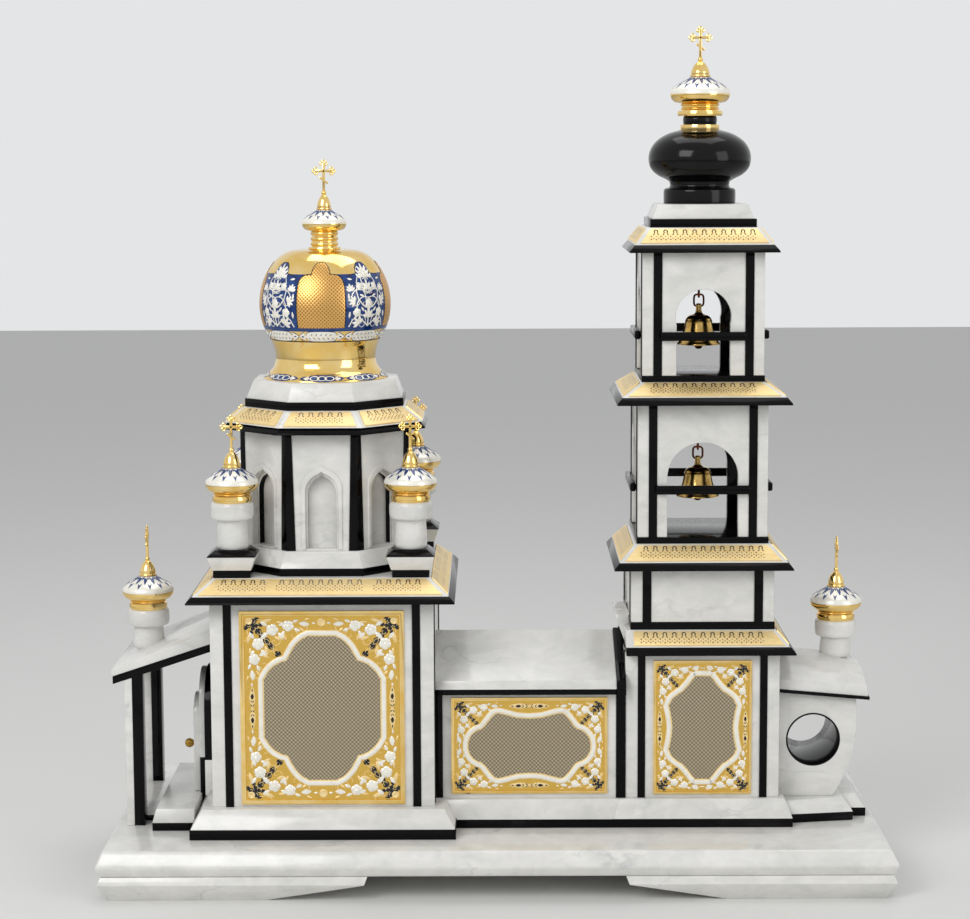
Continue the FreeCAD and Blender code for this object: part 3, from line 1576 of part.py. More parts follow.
nodes["finials"] = [
    finial(nave_x, crown_level, dome_flange_radius, dome_flange_height, dome_neck_radius, dome_neck_height,
           dome_neck_bands, dome_onion_radius, dome_onion_height, dome_cone_height),
    tower_ring(),
    finial(tower_x, tower_finial_bottom, tower_finial_ring_radius, tower_finial_ring_height,
           tower_finial_neck_radius,
           tower_finial_neck_height, tower_finial_neck_bands, tower_onion_radius, tower_onion_height,
           tower_cone_height),
]
nodes["crosses"] = crosses()
nodes["turret_pedestals"] = pedestals([(pedestal_bottom, pedestal_lower_width),
                                       (pedestal_top, pedestal_upper_width)])
nodes["turret_shafts"] = turret_shafts()
nodes["turret_onions"] = [turret_onion(x, y, level) for x, y, level, turn in turret_places()]
nodes["refectory_walls"] = [refectory_walls()]
nodes["refectory_end_plates"] = refectory_end_plates()
nodes["refectory_roof"] = [refectory_roof()]
nodes["wing_eaves"] = [
    refectory_eave(),
    apse_eave(),
    porch_strip(),
]
nodes["tower_stage_1"] = [hollow_stage(stage_1_width, wing_floor, stage_1_top)]
nodes["tower_stage_2"] = [hollow_stage(stage_2_width, stage_2_bottom, stage_2_top)]
nodes["lower_belfry"] = [belfry_1_walls]
nodes["upper_belfry"] = [belfry_2_walls]
nodes["black_linings"] = [belfry_1_lining, belfry_2_lining, apse_lining()] + niche_linings()
nodes["corner_strips"] = (
    nave_strips()
    + stage_1_strips()
    + corner_strips(stage_2_width, stage_2_strip_offset, stage_2_strip_width, stage_2_bottom, stage_2_top,
                    tower_x)
    + corner_strips(belfry_1_width, belfry_1_strip_offset, belfry_1_strip_width, belfry_1_floor,
                    belfry_1_top, tower_x)
    + corner_strips(belfry_2_width, belfry_2_strip_offset, belfry_2_strip_width, belfry_2_floor,
                    belfry_2_top, tower_x)
    + drum_strips()
)
nodes["ornament_panels"] = (
    flat_panel(nave_panel_width, nave_panel_height, nave_width, nave_floor, nave_top - nave_eave_height,
               nave_x)
    + flat_panel(refectory_panel_width, refectory_panel_height, refectory_width, wing_floor, refectory_top,
                 (refectory_left + left_end_thickness + refectory_right) / 2)
    + flat_panel(stage_1_panel_width, stage_1_panel_height, stage_1_width, wing_floor,
                 stage_1_top - eave_height / 2, tower_x)
)
nodes["roof_plates"] = (
    gilt_sheets(4, (nave_eave_top, nave_roof_lower_width), (nave_roof_top, nave_roof_upper_width), nave_x)
    + gilt_sheets(drum_sides, (drum_eave_top, drum_roof_lower_width),
                  (drum_roof_top, drum_roof_upper_width), nave_x)
    + roof_1_gilt()
    + gilt_sheets(4, (eave_2_top, roof_2_lower_width), (roof_2_top, roof_2_upper_width), tower_x)
    + gilt_sheets(4, (eave_3_top, roof_3_lower_width), (roof_3_top, roof_3_upper_width), tower_x)
    + gilt_sheets(4, (eave_4_top, roof_4_lower_width), (roof_4_top, roof_4_upper_width), tower_x)
)
nodes["black_bands"] = [
    tiers(drum_sides, [(nave_roof_top, drum_foot_width), (drum_foot_top, drum_foot_width)], nave_x),
    tiers(drum_sides, [(drum_roof_top, seat_band_width), (seat_bottom, seat_band_width)], nave_x),
    bar(band_1_width, band_1_width, roof_1_top, stage_2_bottom, tower_x),
    bar(band_2_width, band_2_width, roof_2_top, belfry_1_floor, tower_x),
    bar(band_3_width, band_3_width, roof_3_top, belfry_2_floor, tower_x),
    bar(band_4_width, band_4_width, roof_4_top, cap_bottom, tower_x),
] + pedestals([(nave_roof_top, pedestal_foot_width), (pedestal_bottom, pedestal_foot_width)]) + pedestals(
    [(pedestal_top, pedestal_cap_lower_width), (pedestal_cap_top, pedestal_cap_upper_width)])
nodes["tower_eaves"] = [
    eave(4, eave_1_width, stage_1_top, eave_height, tower_x).cut(clear_of_refectory()),
    eave(4, eave_2_width, stage_2_top, eave_height, tower_x),
    eave(4, eave_3_width, belfry_1_top, eave_height, tower_x),
    eave(4, eave_4_width, belfry_2_top, eave_height, tower_x),
]
nodes["tower_roofs"] = [
    roof_1(),
    tiers(4, [(eave_2_top, roof_2_lower_width), (roof_2_top, roof_2_upper_width)], tower_x),
    tiers(4, [(eave_3_top, roof_3_lower_width), (roof_3_top, roof_3_upper_width)], tower_x),
    tiers(4, [(eave_4_top, roof_4_lower_width), (roof_4_top, roof_4_upper_width)], tower_x),
]
nodes["belfry_rails"] = (
    belfry_rails(belfry_1_width, belfry_1_strip_offset, belfry_1_strip_width,
                 belfry_1_floor + belfry_1_rail_level)
    + belfry_rails(belfry_2_width, belfry_2_strip_offset, belfry_2_strip_width,
                   belfry_2_floor + belfry_2_rail_level)
)
nodes["tower_cap"] = [tiers(4, [(cap_bottom, cap_lower_width), (cap_top, cap_upper_width)], tower_x)]
nodes["tower_dome"] = [tower_dome()]
nodes["keel_gable"] = [keel_gable().cut(refectory_end_plates()[1]).cut(
    bar(band_1_width, band_1_width, roof_1_top, stage_2_bottom, tower_x))]
nodes["bell_hooks"] = [hook(lower_rim, belfry_1_top, tower_x), hook(upper_rim, belfry_2_top, tower_x)]
for name, rim in (("lower", lower_rim), ("upper", upper_rim)):
    nodes[name + "_link"] = [chain_link(rim, tower_x)]
    nodes[name + "_bell"] = [bell(rim, tower_x)]
    nodes[name + "_clapper"] = [clapper(rim, tower_x)]
nodes["apse_walls"] = [apse_walls()]
nodes["apse_roof"] = [apse_roof()]
nodes["porch_steps"] = [
    platform(base_top + platform_black_height, base_top + platform_black_height + platform_height,
             platform_width,
             platform_upper_width),
    door_step(base_top + step_black_height, step_top, step_nosing, step_width,
              step_upper_width).cut(nave_plinth()).cut(
        bar(nave_foot_width, nave_foot_width, base_top, nave_foot_top, nave_x)),
]
nodes["porch_posts"] = marble_posts
nodes["porch_roof"] = [porch_solid()]
nodes["portal_black"] = portal_black + black_posts
nodes["portal_marble"] = portal_marble
nodes["door_leaf"] = [on_left_wall(door_slab())]
nodes["door_straps"] = door_straps()
nodes["door_knob"] = [door_knob()]
nodes["door_pintles"] = door_pintles()
nodes["tie_rod"] = [tie_rod(seat_top, crown_level, crown_level - dome_wall, nave_x)]

os.makedirs("parts", exist_ok=True)
for name, solids in nodes.items():
    pieces = [solid for shape in solids for solid in shape.Solids]
    whole = pieces[0] if len(pieces) == 1 else Part.makeCompound(pieces)
    whole.exportStep("parts/" + name + ".step")
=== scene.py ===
from math import atan2, cos, hypot, pi, radians, sin, tan

import bmesh
import bpy
from mathutils import Matrix, Vector


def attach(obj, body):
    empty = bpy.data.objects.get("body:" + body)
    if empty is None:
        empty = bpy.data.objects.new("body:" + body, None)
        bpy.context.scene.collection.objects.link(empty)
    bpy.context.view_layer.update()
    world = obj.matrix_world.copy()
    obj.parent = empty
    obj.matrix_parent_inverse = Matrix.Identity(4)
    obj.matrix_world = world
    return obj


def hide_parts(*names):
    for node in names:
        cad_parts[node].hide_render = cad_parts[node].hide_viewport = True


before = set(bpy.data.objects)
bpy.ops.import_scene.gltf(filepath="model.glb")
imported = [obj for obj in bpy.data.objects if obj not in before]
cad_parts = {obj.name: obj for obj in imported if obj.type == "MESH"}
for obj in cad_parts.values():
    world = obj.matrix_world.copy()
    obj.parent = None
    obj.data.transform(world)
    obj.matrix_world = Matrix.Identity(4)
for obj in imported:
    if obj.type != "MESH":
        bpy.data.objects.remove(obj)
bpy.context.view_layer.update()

# Sizes in millimetres, as in the part's source

MM = 0.001
NAVE_X = -137.0
TOWER_X = 165.0
PORCH_TURRET_X = -285.3
APSE_TURRET_X = 279.0
TURRET_SPREAD = 70.3
REFECTORY_X = 26.5
GILT_THICKNESS = 1.0
PANEL_THICKNESS = 1.8
SKIRT_FOOT = 396.5
BULB_FOOT = 428.0
BULB_CROWN = 499.8
TOWER_DOME_FOOT = 535.5
TOWER_RING_FOOT = 594.0
TOWER_FINIAL_FOOT = 605.0
COLLAR_HEIGHT = 14.0

# Feet of the crosses, over a turret's collar, over the bulb's crown and over the base

TURRET_CROSS = 54.0
DOME_CROSS = 44.6
TOWER_CROSS = 649.0

# Turns about the upright, in degrees

QUARTERS = (0, 90, 180, 270)
CORNERS = (45, 135, 225, 315)
EIGHT = QUARTERS + CORNERS


# Shapes

def smooth_line(points, steps=6):
    """Even curve through a few points."""
    knots = [Vector(p) for p in points]
    knots = [2 * knots[0] - knots[1]] + knots + [2 * knots[-1] - knots[-2]]
    line = [knots[1]]
    for a, b, c, d in zip(knots, knots[1:], knots[2:], knots[3:]):
        for k in range(1, steps + 1):
            t = k / steps
            line.append(0.5 * (2 * b + (c - a) * t + (2 * a - 5 * b + 4 * c - d) * t * t
                               + (3 * b - a - 3 * c + d) * t * t * t))
    return line


def side_line(*runs, steps=6):
    """Side view of a turned piece: runs of points, each a smooth curve, with corners between them."""
    line = []
    for run in runs:
        line += smooth_line(run, steps) if len(run) > 2 else [Vector(p) for p in run]
    return line


def curved(points, steps=3):
    """Curve that carries on an outline from its first point, which the outline has already."""
    return [tuple(p) for p in smooth_line(points, steps)[1:]]


def arc(out, up, radius, angles):
    """Points of a round stretch of a side line, at angles in degrees above the level of its centre."""
    return [Vector((out + radius * cos(radians(a)), up + radius * sin(radians(a)))) for a in angles]


def turned(line, rounds=72):
    """Turned piece from its side view in radius and height."""
    bm = bmesh.new()
    stops = [bm.verts.new((p[0], 0, p[1])) for p in line]
    edges = [bm.edges.new(pair) for pair in zip(stops, stops[1:])]
    bmesh.ops.spin(bm, geom=stops + edges, cent=(0, 0, 0), axis=(0, 0, 1), angle=2 * pi, steps=rounds,
                   use_merge=True)
    bmesh.ops.remove_doubles(bm, verts=bm.verts, dist=0.001)
    bmesh.ops.recalc_face_normals(bm, faces=bm.faces)
    return bm


def cut_sheet(points, thickness, edge=0.0):
    """Flat piece in the XZ plane that stands out towards -Y, with a small bevel round its front."""
    bm = bmesh.new()
    face = bm.faces.new([bm.verts.new((p[0], 0, p[1])) for p in points])
    face.normal_update()
    if face.normal.y > 0:
        bmesh.ops.reverse_faces(bm, faces=[face])
    front = bmesh.ops.extrude_face_region(bm, geom=[face])["geom"]
    lifted = [v for v in front if isinstance(v, bmesh.types.BMVert)]
    bmesh.ops.translate(bm, vec=(0, -thickness, 0), verts=lifted)
    if edge:
        rim = [e for e in bm.edges if all(v in lifted for v in e.verts)]
        bmesh.ops.bevel(bm, geom=rim, offset=edge, affect="EDGES", segments=2, profile=0.5, material=-1)
    bmesh.ops.recalc_face_normals(bm, faces=bm.faces)
    return bm


def band(outer, inner, thickness, edge):
    """Raised band between two outlines of as many points."""
    bm = bmesh.new()
    loops = []
    for points in (outer, inner):
        verts = [bm.verts.new((p[0], 0, p[1])) for p in points]
        loops += [bm.edges.new((a, b)) for a, b in zip(verts, verts[1:] + verts[:1])]
    faces = bmesh.ops.bridge_loops(bm, edges=loops)["faces"]
    front = bmesh.ops.extrude_face_region(bm, geom=faces)["geom"]
    lifted = [v for v in front if isinstance(v, bmesh.types.BMVert)]
    bmesh.ops.translate(bm, vec=(0, -thickness, 0), verts=lifted)
    rim = [e for e in bm.edges if all(v in lifted for v in e.verts) and e.calc_face_angle(0) > 0.5]
    bmesh.ops.bevel(bm, geom=rim, offset=edge, affect="EDGES", segments=2, profile=0.5, material=-1)
    bmesh.ops.recalc_face_normals(bm, faces=bm.faces)
    return bm


def stamped(target, motif, place=Matrix(), finish=None):
    """Adds a copy of a motif to a piece, in place; a mirrored copy is turned right side out."""
    mesh = bpy.data.meshes.new("motif")
    motif.to_mesh(mesh)
    mesh.transform(place)
    if place.determinant() < 0:
        mesh.flip_normals()
    if finish is not None:
        for face in mesh.polygons:
            face.material_index = finish
    target.from_mesh(mesh)
    bpy.data.meshes.remove(mesh)
    return target


def placed(motif, place):
    """Copy of a motif in place, as a mesh of its own."""
    return stamped(bmesh.new(), motif, place)


def at(x=0.0, z=0.0, turn=0.0, size=1.0, y=0.0):
    """Place on a flat panel: across, up, turned and sized."""
    scale = Matrix.Diagonal((size, size, size, 1))
    return Matrix.Translation((x, y, z)) @ Matrix.Rotation(radians(-turn), 4, "Y") @ scale


def across(share):
    """Stretches a motif across, or turns it into its mirror image where the share is -1."""
    return Matrix.Diagonal((share, 1, 1, 1))


def petal(length, width, height, point=0.75):
    """Low leaf that starts at the origin and grows along +X, rounder where point is small."""
    bm = bmesh.new()
    bmesh.ops.create_uvsphere(bm, u_segments=8, v_segments=4, radius=0.5,
                              matrix=Matrix.Rotation(pi / 2, 4, "Y"))
    for vert in bm.verts:
        taper = 1.0 - point * abs(vert.co.x * 2) ** 3
        vert.co = Vector(((vert.co.x + 0.5) * length, vert.co.y * 2 * height, vert.co.z * width * taper))
    return bm


def tendril(arcs, thick, thin, flat):
    """Tapering stem that starts at the origin along +X and bends by each arc of (radius, degrees)."""
    bm = bmesh.new()
    whole = sum(abs(r * radians(a)) for r, a in arcs)
    bmesh.ops.create_circle(bm, cap_ends=True, segments=5, radius=thick / 2,
                            matrix=Matrix.Rotation(pi / 2, 4, "Y"))
    tip = bm.faces[:][0]
    place, heading, gone = Vector((0, 0, 0)), 0.0, 0.0
    for radius, degrees in arcs:
        steps = max(2, int(abs(degrees) / 24))
        for k in range(steps):
            turn = radians(degrees) / steps
            step = abs(radius * turn)
            before = thick + (thin - thick) * gone / whole
            gone += step
            after = thick + (thin - thick) * gone / whole
            grown = bmesh.ops.extrude_face_region(bm, geom=[tip])["geom"]
            verts = [g for g in grown if isinstance(g, bmesh.types.BMVert)]
            old = tip
            tip = [g for g in grown if isinstance(g, bmesh.types.BMFace)][0]
            bmesh.ops.delete(bm, geom=[old], context="FACES_ONLY")
            heading += turn / 2
            move = Vector((step * cos(heading), 0, step * sin(heading)))
            heading += turn / 2
            centre = Matrix.Translation(-place)
            bmesh.ops.scale(bm, vec=(after / before,) * 3, space=centre, verts=verts)
            bmesh.ops.rotate(bm, cent=place, matrix=Matrix.Rotation(-turn, 3, "Y"), verts=verts)
            bmesh.ops.translate(bm, vec=move, verts=verts)
            place = place + move
    bmesh.ops.scale(bm, vec=(1, flat, 1), verts=bm.verts)
    bmesh.ops.recalc_face_normals(bm, faces=bm.faces)
    return bm


def blossom(radius, height):
    """Open rose: two rounds of overlapping petals about a bud."""
    bm = bmesh.new()
    leaf = petal(radius, radius * 1.1, height * 0.5, point=0.1)
    small = petal(radius * 0.62, radius * 0.7, height * 0.6, point=0.1)
    for k in range(5):
        stamped(bm, leaf, at(turn=72 * k))
        stamped(bm, small, at(turn=72 * k + 36, y=-height * 0.25))
    bud = petal(radius * 0.5, radius * 0.5, height * 0.6)
    return stamped(bm, bud, at(x=-radius * 0.25, y=-height * 0.5))


def stud(radius, height):
    """Low round boss with a dished top."""
    top = [(0, height * 0.6), (radius * 0.55, height * 0.7)]
    rim = [(radius * 0.7, height), (radius * 0.93, height * 0.8), (radius, 0)]
    bm = turned(side_line(top, rim, steps=3), 20)
    bmesh.ops.rotate(bm, cent=(0, 0, 0), matrix=Matrix.Rotation(pi / 2, 3, "X"), verts=bm.verts)
    return bm


def ring_of_wire(radius, thick, sides, steps):
    """Ring of round wire that stands in the XZ plane."""
    bm = bmesh.new()
    section = Matrix.Translation((radius, 0, 0)) @ Matrix.Rotation(pi / 2, 4, "X")
    bmesh.ops.create_circle(bm, segments=sides, radius=thick / 2, matrix=section)
    bmesh.ops.spin(bm, geom=bm.verts[:] + bm.edges[:], cent=(0, 0, 0), axis=(0, 0, 1), angle=2 * pi,
                   steps=steps, use_merge=True)
    bmesh.ops.rotate(bm, cent=(0, 0, 0), matrix=Matrix.Rotation(pi / 2, 3, "X"), verts=bm.verts)
    bmesh.ops.recalc_face_normals(bm, faces=bm.faces)
    return bm


def bent_round(bm, line, start, reach):
    """Bends a flat piece round a turned one: across becomes the way round, up the way along its side line."""
    for axis, normal in ((0, Vector((1, 0, 0))), (2, Vector((0, 0, 1)))):
        spread = [v.co[axis] for v in bm.verts]
        for cut in range(int(min(spread)) + 1, int(max(spread)) + 1, 2):
            bmesh.ops.bisect_plane(bm, geom=bm.verts[:] + bm.edges[:] + bm.faces[:], plane_co=normal * cut,
                                   plane_no=normal)
    flat = bm.loops.layers.uv.verify()
    for face in bm.faces:
        for loop in face.loops:
            loop[flat].uv = (loop.vert.co.x * MM, loop.vert.co.z * MM)
    for vert in bm.verts:
        left = vert.co.z + start
        for a, b in zip(line, line[1:]):
            span = (b - a).length
            if span and (left <= span or b is line[-1]):
                break
            left -= span
        run = (b - a) / span
        spot = a + run * left
        lift = Vector((run[1], -run[0])) * (-vert.co.y)
        turn = vert.co.x / reach - pi / 2
        radius = spot[0] + lift[0]
        vert.co = (radius * cos(turn), radius * sin(turn), spot[1] + lift[1])
    return bm


def round_place(x, y, z, turn=0.0):
    """Place of a turned piece, spun about its own axis."""
    return Matrix.Translation((x, y, z)) @ Matrix.Rotation(radians(turn), 4, "Z")


def piece(name, bm, finishes, body="root", nodes=(), crease=35):
    """Makes a bmesh in millimetres a shown piece that rides on a body and stands for its CAD nodes."""
    mesh = bpy.data.meshes.new(name)
    bm.to_mesh(mesh)
    bm.free()
    mesh.transform(Matrix.Diagonal((MM, MM, MM, 1)))
    for finish in finishes:
        mesh.materials.append(finish)
    mesh.shade_smooth()
    mesh.set_sharp_from_angle(angle=radians(crease))
    made = bpy.data.objects.new(name, mesh)
    bpy.context.scene.collection.objects.link(made)
    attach(made, body)
    if nodes:
        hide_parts(*nodes)
    return made


def arrised(node, width, finish, segments=2, body="root", reshape=None):
    """Cut stone with its sharp edges eased, made from a merged copy of the CAD solid."""
    bm = bmesh.new()
    bm.from_mesh(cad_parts[node].data)
    bmesh.ops.scale(bm, vec=(1 / MM,) * 3, verts=bm.verts)
    bmesh.ops.remove_doubles(bm, verts=bm.verts, dist=0.002)
    bmesh.ops.dissolve_limit(bm, angle_limit=radians(0.6), verts=bm.verts, edges=bm.edges)
    if reshape:
        reshape(bm)
    sharp = [e for e in bm.edges if len(e.link_faces) == 2 and e.calc_face_angle() > radians(24)]
    bmesh.ops.bevel(bm, geom=sharp, offset=width, affect="EDGES", segments=segments, profile=0.5,
                    material=-1, clamp_overlap=True)
    return piece(node + "_cut", bm, [finish], body, [node], 30)


# Finishes

def linear(code):
    """Colour written as an sRGB hex value, as the shader wants it."""
    parts = [int(code[k:k + 2], 16) / 255 for k in (0, 2, 4)]
    return tuple(((c + 0.055) / 1.055) ** 2.4 if c > 0.04045 else c / 12.92 for c in parts) + (1.0,)


def connect(tree, node, inputs):
    """Sets or links a node's inputs; a node given as a value is linked by its first output."""
    for name, value in inputs.items():
        if isinstance(value, bpy.types.Node):
            value = value.outputs[0]
        if isinstance(value, bpy.types.NodeSocket):
            tree.links.new(value, node.inputs[name])
        else:
            node.inputs[name].default_value = value
    return node


def add_node(tree, kind, inputs=None, **settings):
    """Adds one node with its settings, values and links."""
    made = tree.nodes.new("ShaderNode" + kind)
    for name, value in settings.items():
        setattr(made, name, value)
    return connect(tree, made, inputs or {})


def new_finish(name, base, metallic, roughness, space="Object", **more):
    """Starts a finish: its tree, its surface shader and the coordinates in metres for its patterns."""
    finish = bpy.data.materials.new(name)
    finish.use_nodes = True
    tree = finish.node_tree
    tree.nodes.clear()
    surface = add_node(tree, "BsdfPrincipled",
                       {"Base Color": linear(base), "Metallic": metallic, "Roughness": roughness, **more})
    add_node(tree, "OutputMaterial", {"Surface": surface})
    where = add_node(tree, "TexCoord").outputs[space]
    return finish, tree, surface, where


def stops(ramp, *pairs):
    """Sets a colour ramp's places and colours."""
    while len(ramp.color_ramp.elements) > 1:
        ramp.color_ramp.elements.remove(ramp.color_ramp.elements[-1])
    for k, (place, code) in enumerate(pairs):
        stop = ramp.color_ramp.elements[0] if k == 0 else ramp.color_ramp.elements.new(place)
        stop.position = place
        stop.color = linear(code)
    return ramp


def white_marble(name, turn, shift, vein_tone="ACADB0"):
    """Polished white marble: cloudy white ground, soft grey veins about 60 mm apart that fade in and out."""
    finish, tree, surface, where = new_finish(name, "DEDDD9", 0.0, 0.16)
    block = add_node(tree, "Mapping",
                     {"Vector": where, "Location": shift, "Rotation": turn, "Scale": (1.0, 1.0, 1.7)})
    drift = add_node(tree, "TexNoise", {"Vector": block, "Scale": 16.0, "Detail": 4.0, "Roughness": 0.55})
    bent = add_node(tree, "VectorMath", {0: drift.outputs["Color"], 1: (0.075, 0.075, 0.075), 2: block},
                    operation="MULTIPLY_ADD")
    crack = add_node(tree, "TexNoise", {"Vector": bent, "Scale": 11.0, "Detail": 3.0, "Roughness": 0.45})
    thin = stops(add_node(tree, "ValToRGB", {"Fac": crack}), (0.0, "000000"), (0.478, "000000"),
                 (0.5, "FFFFFF"), (0.516, "303030"), (0.56, "000000"), (1.0, "000000"))
    patch = add_node(tree, "TexNoise", {"Vector": block, "Scale": 13.0, "Detail": 1.0})
    fading = stops(add_node(tree, "ValToRGB", {"Fac": patch}), (0.0, "000000"), (0.46, "000000"),
                   (0.7, "B4B4B4"))
    shown = add_node(tree, "Math", {0: thin, 1: fading}, operation="MULTIPLY")
    cloud = add_node(tree, "TexNoise", {"Vector": bent, "Scale": 34.0, "Detail": 5.0, "Roughness": 0.6})
    ground = stops(add_node(tree, "ValToRGB", {"Fac": cloud}), (0.3, "D2D2CE"), (0.5, "DEDDD9"),
                   (0.68, "E7E6E2"))
    colour = add_node(tree, "Mix", {"Factor": shown, 6: ground, 7: linear(vein_tone)}, data_type="RGBA")
    polish = add_node(tree, "MapRange",
                      {"Value": cloud, "From Min": 0.3, "From Max": 0.7, "To Min": 0.12, "To Max": 0.22})
    skin = add_node(tree, "Bump", {"Height": cloud, "Strength": 0.04, "Distance": 0.0004})
    connect(tree, surface, {"Base Color": colour.outputs[2], "Roughness": polish, "Normal": skin})
    return finish


def black_stone(name, shine):
    """Polished black gabbro with fine grey flecks of about 0.5 mm; shine is how much it mirrors."""
    finish, tree, surface, where = new_finish(name, "040405", 0.0, 0.1, **{"Specular IOR Level": shine})
    grain = add_node(tree, "TexNoise", {"Vector": where, "Scale": 900.0, "Detail": 3.0, "Roughness": 0.7})
    fleck = stops(add_node(tree, "ValToRGB", {"Fac": grain}), (0.0, "040405"), (0.6, "060607"),
                  (0.74, "15161A"), (1.0, "26282C"))
    polish = add_node(tree, "MapRange",
                      {"Value": grain, "From Min": 0.4, "From Max": 0.75, "To Min": 0.07, "To Max": 0.26})
    connect(tree, surface, {"Base Color": fleck, "Roughness": polish})
    return finish


def polished_gold():
    """Gold plate on polished brass: warm mirror, with hairlines about 0.3 mm apart from handling."""
    finish, tree, surface, where = new_finish("polished gold plate", "F4D081", 1.0, 0.08)
    wide = add_node(tree, "Mapping", {"Vector": where, "Scale": (400.0, 400.0, 3200.0)})
    hair = add_node(tree, "TexNoise", {"Vector": wide, "Scale": 1.0, "Detail": 3.0})
    polish = add_node(tree, "MapRange",
                      {"Value": hair, "From Min": 0.35, "From Max": 0.75, "To Min": 0.06, "To Max": 0.17})
    film = add_node(tree, "TexNoise", {"Vector": where, "Scale": 60.0, "Detail": 2.0})
    warm = stops(add_node(tree, "ValToRGB", {"Fac": film}), (0.35, "F0C870"), (0.65, "F7D892"))
    connect(tree, surface, {"Roughness": polish, "Base Color": warm})
    return finish


def matt_gold():
    """Gold ground stippled with a punch every 0.7 mm, so that it looks dull beside the polished gold; each
    dint is painted darker towards its middle as painted shade.
    """
    finish, tree, surface, where = new_finish("punched gold ground", "E2B95A", 1.0, 0.36)
    punch = add_node(tree, "TexVoronoi", {"Vector": where, "Scale": 1400.0}, feature="F1")
    dint = add_node(tree, "Bump", {"Height": punch, "Strength": 0.25, "Distance": 0.0002})
    # Painted shade: the gold is darkest at the bottom of each punch dint and lightest on the ground between
    # the dints.
    tone = stops(add_node(tree, "ValToRGB", {"Fac": punch}), (0.0, "C99A3E"), (0.5, "E4BC5E"))
    connect(tree, surface, {"Normal": dint, "Base Color": tone})
    return finish


def satin_gold():
    """Rolled gold sheet of the roofs: satin, with a faint grain along the rolling."""
    finish, tree, surface, where = new_finish("satin gold sheet", "F3D892", 0.6, 0.45)
    long = add_node(tree, "Mapping", {"Vector": where, "Scale": (150.0, 150.0, 1500.0)})
    grain = add_node(tree, "TexNoise", {"Vector": long, "Scale": 1.0, "Detail": 4.0})
    polish = add_node(tree, "MapRange",
                      {"Value": grain, "From Min": 0.3, "From Max": 0.7, "To Min": 0.38, "To Max": 0.52})
    tone = stops(add_node(tree, "ValToRGB", {"Fac": grain}), (0.3, "F0D08A"), (0.7, "F9E1AC"))
    connect(tree, surface, {"Roughness": polish, "Base Color": tone})
    return finish


def crossed_waves(tree, where, axes, pitch):
    """Diagonal lattice: product of two waves, 1 at each crossing and -1 between them."""
    split = add_node(tree, "SeparateXYZ", {0: where})
    waves = []
    for axis in axes:
        angle = add_node(tree, "Math", {0: split.outputs[axis], 1: 2 * pi / pitch}, operation="MULTIPLY")
        waves.append(add_node(tree, "Math", {0: angle}, operation="COSINE"))
    return add_node(tree, "Math", {0: waves[0], 1: waves[1]}, operation="MULTIPLY")


def woven_gold():
    """Gold engraved as a basket weave; its rows, 1.5 mm apart, are coarser than real so that they show. Its
    cuts carry painted shade and its crests a painted highlight.
    """
    finish, tree, surface, where = new_finish("basket-engraved gold", "E6B46A", 0.85, 0.34, "UV")
    cell = crossed_waves(tree, where, "XY", 0.003)
    share = add_node(tree, "MapRange", {"Value": cell, "From Min": -1.0, "From Max": 1.0})
    # Painted shade and highlight: the colour follows the depth of the cut, dark brown in the cuts and light
    # gold on the crests between them.
    tone = stops(add_node(tree, "ValToRGB", {"Fac": share}),
                 (0.0, "4E3616"), (0.1, "7C5828"), (0.22, "C8934A"), (0.5, "DBA95F"), (1.0, "E6BA78"))
    cut = add_node(tree, "Bump", {"Height": cell, "Strength": 0.3, "Distance": 0.0002})
    connect(tree, surface, {"Base Color": tone, "Normal": cut})
    return finish


def lattice_silver():
    """Silver engraved with a lattice; its points, 3.2 mm apart, are coarser than real so that they show. Its
    grooves carry painted shade and its raised points a painted highlight.
    """
    finish, tree, surface, where = new_finish("engraved silver lattice", "A79F97", 0.5, 0.4)
    cell = crossed_waves(tree, where, "XZ", 0.0032)
    share = add_node(tree, "MapRange", {"Value": cell, "From Min": -1.0, "From Max": 1.0})
    # Painted shade and highlight: the colour follows the depth of the engraving, darkest in the grooves and
    # near white on the raised points.
    tone = stops(add_node(tree, "ValToRGB", {"Fac": share}),
                 (0.0, "736853"), (0.25, "877B66"), (0.5, "988C76"), (0.8, "AB9E85"), (0.92, "CCBE9A"),
                 (1.0, "E6D9B4"))
    cut = add_node(tree, "Bump", {"Height": cell, "Strength": 0.3, "Distance": 0.0002})
    connect(tree, surface, {"Base Color": tone, "Normal": cut})
    return finish


def frosted_silver():
    """Silver left matt white from the pickle and burnished on its high spots."""
    finish, tree, surface, where = new_finish("matt white silver", "F3F0E6", 0.25, 0.3)
    bloom = add_node(tree, "TexNoise", {"Vector": where, "Scale": 160.0, "Detail": 2.0})
    tone = stops(add_node(tree, "ValToRGB", {"Fac": bloom}), (0.3, "EFEBDF"), (0.65, "F6F3E9"))
    polish = add_node(tree, "MapRange",
                      {"Value": bloom, "From Min": 0.3, "From Max": 0.7, "To Min": 0.26, "To Max": 0.36})
    connect(tree, surface, {"Base Color": tone, "Roughness": polish})
    return finish


def hot_enamel(name, deep, pale):
    """Fired enamel, or a fused or etched line: smooth skin, a little darker where the colour lies thick."""
    finish, tree, surface, where = new_finish(name, deep, 0.0, 0.06)
    depth = add_node(tree, "TexNoise", {"Vector": where, "Scale": 220.0, "Detail": 2.0})
    tone = stops(add_node(tree, "ValToRGB", {"Fac": depth}), (0.35, deep), (0.7, pale))
    skin = add_node(tree, "Bump", {"Height": depth, "Strength": 0.05, "Distance": 0.0002})
    connect(tree, surface, {"Base Color": tone, "Normal": skin})
    return finish


